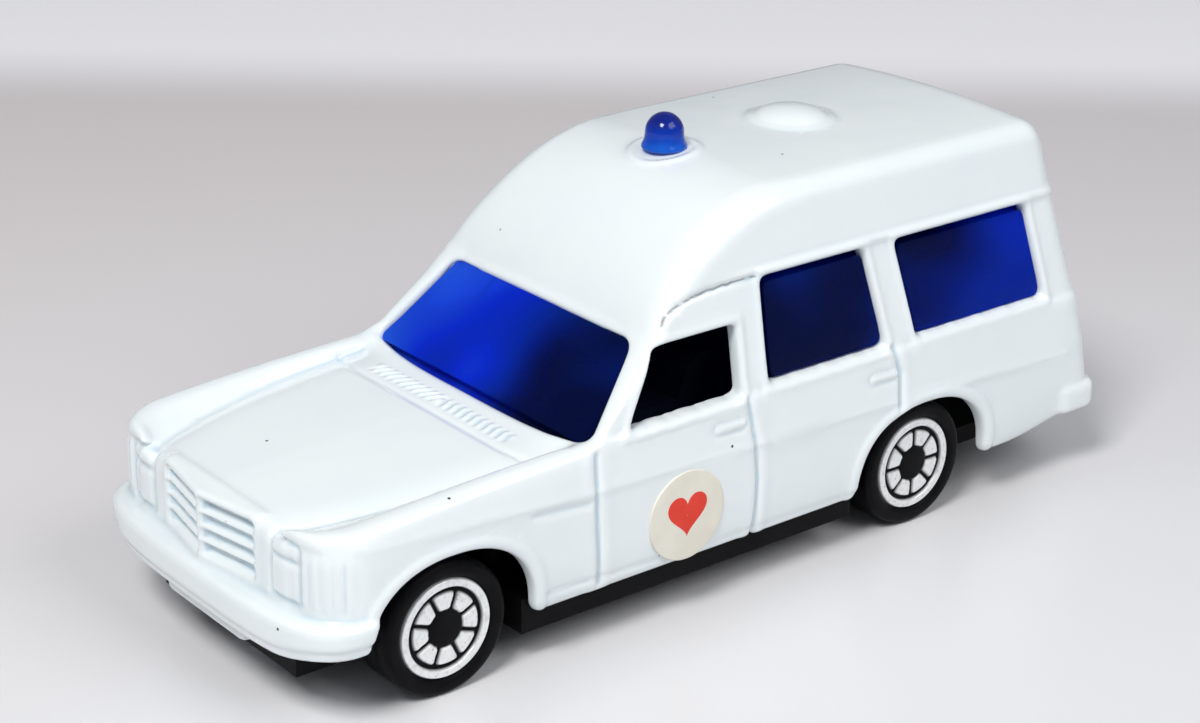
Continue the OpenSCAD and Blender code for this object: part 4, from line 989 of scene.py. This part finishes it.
ENAMEL = enamel()
BLACK = moulded("base_black_plastic", (0.004, 0.004, 0.0045), (0.008, 0.008, 0.009), 0.42, 2600)
# Painted shade: near-black navy stands in for the unlit inside of the cabin.
INSIDE_SHADE_PLASTIC = moulded("inside_plastic_painted_shade", (0.004, 0.006, 0.014), (0.008, 0.011, 0.028), 0.45, 2200)
GLASS = glazing()
BEACON = beacon_material()
STEEL = steel()
WHEEL = wheel_material()
CREAM = paper("label_cream_paper", (0.74, 0.70, 0.60), (0.80, 0.77, 0.68))
RED = paper("label_red_print", (0.70, 0.040, 0.022), (0.80, 0.055, 0.030))

dress(body_object, ENAMEL)
dress(gate_object, ENAMEL)
for name, mat in (("base_plate", BLACK), ("interior_tray", INSIDE_SHADE_PLASTIC), ("window_unit", GLASS),
                  ("tailgate_window", GLASS), ("front_axle", STEEL), ("rear_axle", STEEL)):
    dress(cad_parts[name], mat)


# Turned shapes

def mesh_object(name, points, faces):
    """Smooth object from points in millimetres."""
    mesh = bpy.data.meshes.new(name)
    mesh.from_pydata([tuple(c * MM for c in p) for p in points], [], faces)
    mesh.validate()
    mesh.polygons.foreach_set("use_smooth", [True] * len(mesh.polygons))
    obj = bpy.data.objects.new(name, mesh)
    bpy.context.scene.collection.objects.link(obj)
    return obj


def circle(r, segments, first=0.0):
    angles = [2 * math.pi * (j + first) / segments for j in range(segments)]
    return [(r * math.cos(a), r * math.sin(a)) for a in angles]


def arc(r, low, high, count):
    """Points of an arc about the origin, between two angles in degrees."""
    return [(r * math.cos(a), r * math.sin(a)) for a in np.radians(np.linspace(low, high, count))]


def row_faces(rows, segments, first=0):
    """Quads between rows of points that each run once round."""
    faces = []
    for i in range(rows - 1):
        a, b = first + i * segments, first + (i + 1) * segments
        for j in range(segments):
            k = (j + 1) % segments
            faces.append((a + j, a + k, b + k, b + j))
    return faces


def flipped(faces):
    return [tuple(reversed(f)) for f in faces]


# Wheels

SPOKES = 8
PAD_IN, PAD_OUT, SPOKE_HALF = 1.46, 2.70, 0.18
RING_IN, RING_OUT = 3.10, 3.70
HUB_R, WALL_R = 1.42, 3.86
FACE_DEPTH, PAD_RISE, RING_RISE, HUB_RISE = 0.36, 0.22, 0.27, 0.22
EDGE_R = 0.5
EDGE_IN = -3.7  # where the tyre's inner edge begins to turn, from its face
BORE_R, BORE_END = 0.62, -3.0
FACE_RADII = (0.25, 0.6, 0.95, 1.2, 1.3, 1.36, 1.42, 1.48, 1.54, 1.6, 1.7, 1.85, 2.1, 2.35, 2.5,
              2.57, 2.62, 2.67, 2.72, 2.78, 2.9, 3.0, 3.05, 3.1, 3.15, 3.2, 3.4, 3.6, 3.64, 3.69,
              3.74, 3.8, 3.86, 3.92, 4.0, 4.2, 4.4)  # close together at the steps
FRONT_TURN = math.radians(20)


def wheel_face(r, angle):
    """Height of the wheel's outer face against its rim, and how much silver foil lies there."""
    pitch = 2 * math.pi / SPOKES
    to_spoke = r * math.sin(abs((angle + pitch / 2) % pitch - pitch / 2))
    pad_d = smooth_max(np.maximum(PAD_IN - r, r - PAD_OUT), SPOKE_HALF - to_spoke, 0.2)
    pad = float(inside(pad_d, 0.13))
    ring = float(band(r, RING_IN, RING_OUT, 0.12))
    hub = float(inside(r - HUB_R, 0.2))
    wall = float(inside(WALL_R - r, 0.3))
    swell = 0.06 * math.sin(math.pi * share(r, 3.9, 4.9)) - 0.06
    height = (-FACE_DEPTH + PAD_RISE * pad + RING_RISE * ring
              + hub * (HUB_RISE - 0.05 * r * r) + wall * (FACE_DEPTH + swell))
    return height, max(pad, ring)


def tyre_profile():
    """Radii and places across, from the outer edge over the tread to the bore behind."""
    edge = TYRE_R - EDGE_R
    out = [(edge + u, -EDGE_R + v) for u, v in arc(EDGE_R, 90, 0, 9)]
    for groove in (-1.5, -2.7):
        out += [(TYRE_R, groove + 0.1), (TYRE_R - 0.03, groove), (TYRE_R, groove - 0.1)]
    out += [(edge + u, EDGE_IN + v) for u, v in arc(EDGE_R, 0, -90, 9)]
    return out + [(3.9, -4.15), (3.7, -3.9), (1.6, -3.9), (1.4, -4.15), (BORE_R, -4.15),
                  (BORE_R, BORE_END)]


def wheel_object(name, x, side, body, turned_by):
    segments = 192
    points, foil = [], []
    for r in FACE_RADII:
        for u, v in circle(r, segments, 0.5):
            h, f = wheel_face(r, math.atan2(v, u) - turned_by)
            points.append((u, v, h))
            foil.append(f)
    profile = tyre_profile()
    for r, h in profile:
        points += [(u, v, h) for u, v in circle(r, segments, 0.5)]
        foil += [0.0] * segments
    rows = len(FACE_RADII) + len(profile)
    faces = [(a, d, c, b) for a, b, c, d in row_faces(rows, segments)]
    points += [(0, 0, wheel_face(0, 0)[0]), (0, 0, BORE_END)]
    foil += [0.0, 0.0]
    last = (rows - 1) * segments
    for j in range(segments):
        k = (j + 1) % segments
        faces.append((rows * segments, j, k))
        faces.append((rows * segments + 1, last + k, last + j))
    placed = [(x + u, side * (WHEEL_FACE_Y + h), AXLE_Z + v) for u, v, h in points]
    obj = mesh_object(name, placed, flipped(faces) if side > 0 else faces)
    layer = obj.data.attributes.new("foil", "FLOAT", "POINT")
    layer.data.foreach_set("value", foil)
    dress(obj, WHEEL)
    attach(obj, body)
    return obj


for end, x, body_name, turned_by in (("front", FRONT_AXLE_X, "front_wheelset", FRONT_TURN),
                                     ("rear", REAR_AXLE_X, "rear_wheelset", 0.0)):
    for word, sign in (("left", 1), ("right", -1)):
        made = wheel_object(f"{end}_{word}_wheel_foiled", x, sign, body_name, turned_by)
        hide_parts(f"{end}_{word}_wheel")

# Beacon: a stem in the roof, a flared foot and a rounded top, as radii and heights
BEACON_R, BEACON_ROUND_Z, BEACON_ROUND_H = 1.48, 1.2, 1.52
BEACON_PROFILE = [(0.98, -1.78), (1.0, -1.75), (1.0, -0.02), (1.02, 0.0), (1.68, 0.0),
                  (1.74, 0.03), (1.75, 0.1), (1.74, 0.2), (1.69, 0.32), (1.61, 0.48),
                  (1.55, 0.68), (1.51, 0.92), (BEACON_R, BEACON_ROUND_Z)]
BEACON_SEGMENTS = 64


def beacon_object(name):
    profile = BEACON_PROFILE + [(BEACON_R * u, BEACON_ROUND_Z + BEACON_ROUND_H * v)
                                for u, v in arc(1, 6, 86, 15)]
    points = [(BEACON_X + u, v, ROOF_Z + h) for r, h in profile
              for u, v in circle(r, BEACON_SEGMENTS)]
    faces = row_faces(len(profile), BEACON_SEGMENTS)
    faces.append(tuple(reversed(range(BEACON_SEGMENTS))))
    faces.append(tuple(range(len(points) - BEACON_SEGMENTS, len(points))))
    return mesh_object(name, points, faces)


beacon = beacon_object("beacon_lens")
dress(beacon, BEACON)
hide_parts("beacon_dome")
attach(beacon, "car")

# Door labels: a cream paper disc with a red heart printed in its middle
LABEL_SEGMENTS = 72
HEART_SEGMENTS = 96
HEART_SCALE, HEART_LIFT = 0.115, 2.2


def heart_outline():
    out = []
    for j in range(HEART_SEGMENTS):
        t = 2 * math.pi * j / HEART_SEGMENTS
        u = 16 * math.sin(t) ** 3
        v = 13 * math.cos(t) - 5 * math.cos(2 * t) - 2 * math.cos(3 * t) - math.cos(4 * t)
        out.append((HEART_SCALE * u, HEART_SCALE * (v + HEART_LIFT)))
    return out


def label_object(name, node, side):
    low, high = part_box(node)
    face = max(abs(low.y), abs(high.y)) / MM
    back = min(abs(low.y), abs(high.y)) / MM
    rims = [(LABEL_R, back), (LABEL_R, face - 0.03), (LABEL_R - 0.03, face - 0.01),
            (LABEL_R - 0.1, face), (LABEL_R - 0.6, face - 0.004), (0.02, face - 0.004)]
    prints = [(1.0, face - 0.02), (1.0, face - 0.001), (0.97, face), (0.5, face), (0.02, face)]
    flat = [(u, y, v) for r, y in rims for u, v in circle(r, LABEL_SEGMENTS)]
    disc = row_faces(len(rims), LABEL_SEGMENTS)
    heart = row_faces(len(prints), HEART_SEGMENTS, len(flat))
    flat += [(scale * u, y, scale * v) for scale, y in prints for u, v in heart_outline()]
    points = [(LABEL_X + u, side * y, LABEL_Z + v) for u, y, v in flat]
    faces = disc + flipped(heart) if side < 0 else flipped(disc) + heart
    obj = mesh_object(name, points, faces)
    dress(obj, CREAM, RED)
    obj.data.polygons.foreach_set("material_index", [0] * len(disc) + [1] * len(heart))
    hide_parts(node)
    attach(obj, "car")


label_object("left_door_label_printed", "door_label_left", 1)
label_object("right_door_label_printed", "door_label_right", -1)

# Studio: the camera as fitted to the photo, a floor that turns up all round, two lamps and a sky
CAMERA_PLACE = (0.11463, 0.13809, 0.08762)
CAMERA_YAW = math.radians(-128.98)
CAMERA_PITCH = math.radians(22.37)
CAMERA_ROLL = math.radians(0.85)
CAMERA_LENS, CAMERA_SENSOR = 75.63, 36
# Floor colours with painted light: bluer and lighter near the camera, lighter again well behind
# the car
FLOOR_TONES_PAINTED_LIGHT = [(0.0, (0.74, 0.70, 0.705)), (0.5, (0.74, 0.72, 0.735)), (1.0, (0.76, 0.775, 0.80))]
FLOOR_FAR_PAINTED_LIGHT = (0.80, 0.79, 0.82)
FLOOR_GLOW = (0.96, 0.97, 1.0, 1)
FLOOR_R, FLOOR_TURN_R, FLOOR_SEGMENTS = 0.9, 0.5, 96  # the radii in metres
SKY, SKY_STRENGTH = (0.92, 0.95, 1.0, 1), 0.32


def floor_material():
    """Pale floor with painted light: it changes tone from back to front, bluer and lighter near
    the camera, and well behind the car it is lighter and glows for camera rays only.
    """
    p = Paint("studio_floor")
    ahead = Vector((math.cos(CAMERA_YAW), math.sin(CAMERA_YAW), 0))
    across = Vector((ahead.y, -ahead.x, 0))
    # Painted light: the tone turns bluer and lighter towards the camera and to its right.
    near = p.remap(p.along(across * 0.55 - ahead), -0.12, 0.06, 0.0, 1.0)
    # Painted light: well behind the car the floor is lighter and glows to the camera.
    far_painted_light = p.remap(p.along(ahead), 0.112, 0.140, 0.0, 1.0, "SMOOTHSTEP")
    p.drive("Base Color", p.layered(far_painted_light, p.ramp(near, FLOOR_TONES_PAINTED_LIGHT), FLOOR_FAR_PAINTED_LIGHT))
    ray = p.nodes.new("ShaderNodeLightPath")
    seen = p.combine("MULTIPLY", far_painted_light, ray.outputs["Is Camera Ray"])
    p.drive("Emission Strength", p.remap(seen, 0.0, 1.0, 0.0, 0.20))
    p.hold("Emission Color", FLOOR_GLOW)
    p.hold("Roughness", 0.3)
    return p.material


def floor_object(name):
    dish = [(0.02, 0.0), (0.3, 0.0), (FLOOR_R, 0.0)]
    for a in np.radians(np.linspace(6, 90, 15)):
        dish.append((FLOOR_R + FLOOR_TURN_R * math.sin(a), FLOOR_TURN_R * (1 - math.cos(a))))
    points = [(u, v, h / MM) for r, h in dish for u, v in circle(r / MM, FLOOR_SEGMENTS)]
    faces = flipped(row_faces(len(dish), FLOOR_SEGMENTS)) + [tuple(range(FLOOR_SEGMENTS))]
    return mesh_object(name, points, faces)


def add_camera():
    data = bpy.data.cameras.new("camera")
    data.sensor_fit = "HORIZONTAL"
    data.sensor_width = CAMERA_SENSOR
    data.lens = CAMERA_LENS
    data.clip_start = 0.01
    look = Vector((math.cos(CAMERA_PITCH) * math.cos(CAMERA_YAW),
                   math.cos(CAMERA_PITCH) * math.sin(CAMERA_YAW), -math.sin(CAMERA_PITCH)))
    level = look.cross(Vector((0, 0, 1))).normalized()
    upright = level.cross(look)
    right = math.cos(CAMERA_ROLL) * level + math.sin(CAMERA_ROLL) * upright
    upward = -math.sin(CAMERA_ROLL) * level + math.cos(CAMERA_ROLL) * upright
    camera = bpy.data.objects.new("camera", data)
    turn = Matrix((right, upward, -look)).transposed().to_4x4()
    camera.matrix_world = Matrix.Translation(CAMERA_PLACE) @ turn
    bpy.context.scene.collection.objects.link(camera)
    bpy.context.scene.camera = camera


def add_lamp(name, place, target, size, power, colour):
    data = bpy.data.lights.new(name, "AREA")
    data.shape = "RECTANGLE"
    data.size, data.size_y = size
    data.energy = power
    data.color = colour
    obj = bpy.data.objects.new(name, data)
    obj.location = place
    obj.rotation_euler = (Vector(target) - Vector(place)).to_track_quat("-Z", "Y").to_euler()
    bpy.context.scene.collection.objects.link(obj)


floor = floor_object("studio_floor")
dress(floor, floor_material())
add_camera()
add_lamp("key", (0.25, 0.12, 0.36), (0, 0, 0.01), (0.13, 0.13), 1.44, (1.0, 0.99, 0.97))
add_lamp("right_side", (-0.12, 0.36, 0.36), (0, 0, 0.015), (0.34, 0.26), 0.94, (1.0, 1.0, 1.0))
world = bpy.data.worlds.new("studio_world")
bpy.context.scene.world = world
world.use_nodes = True
background = world.node_tree.nodes["Background"]
background.inputs["Color"].default_value = SKY
background.inputs["Strength"].default_value = SKY_STRENGTH
bpy.context.scene.view_settings.view_transform = "Standard"
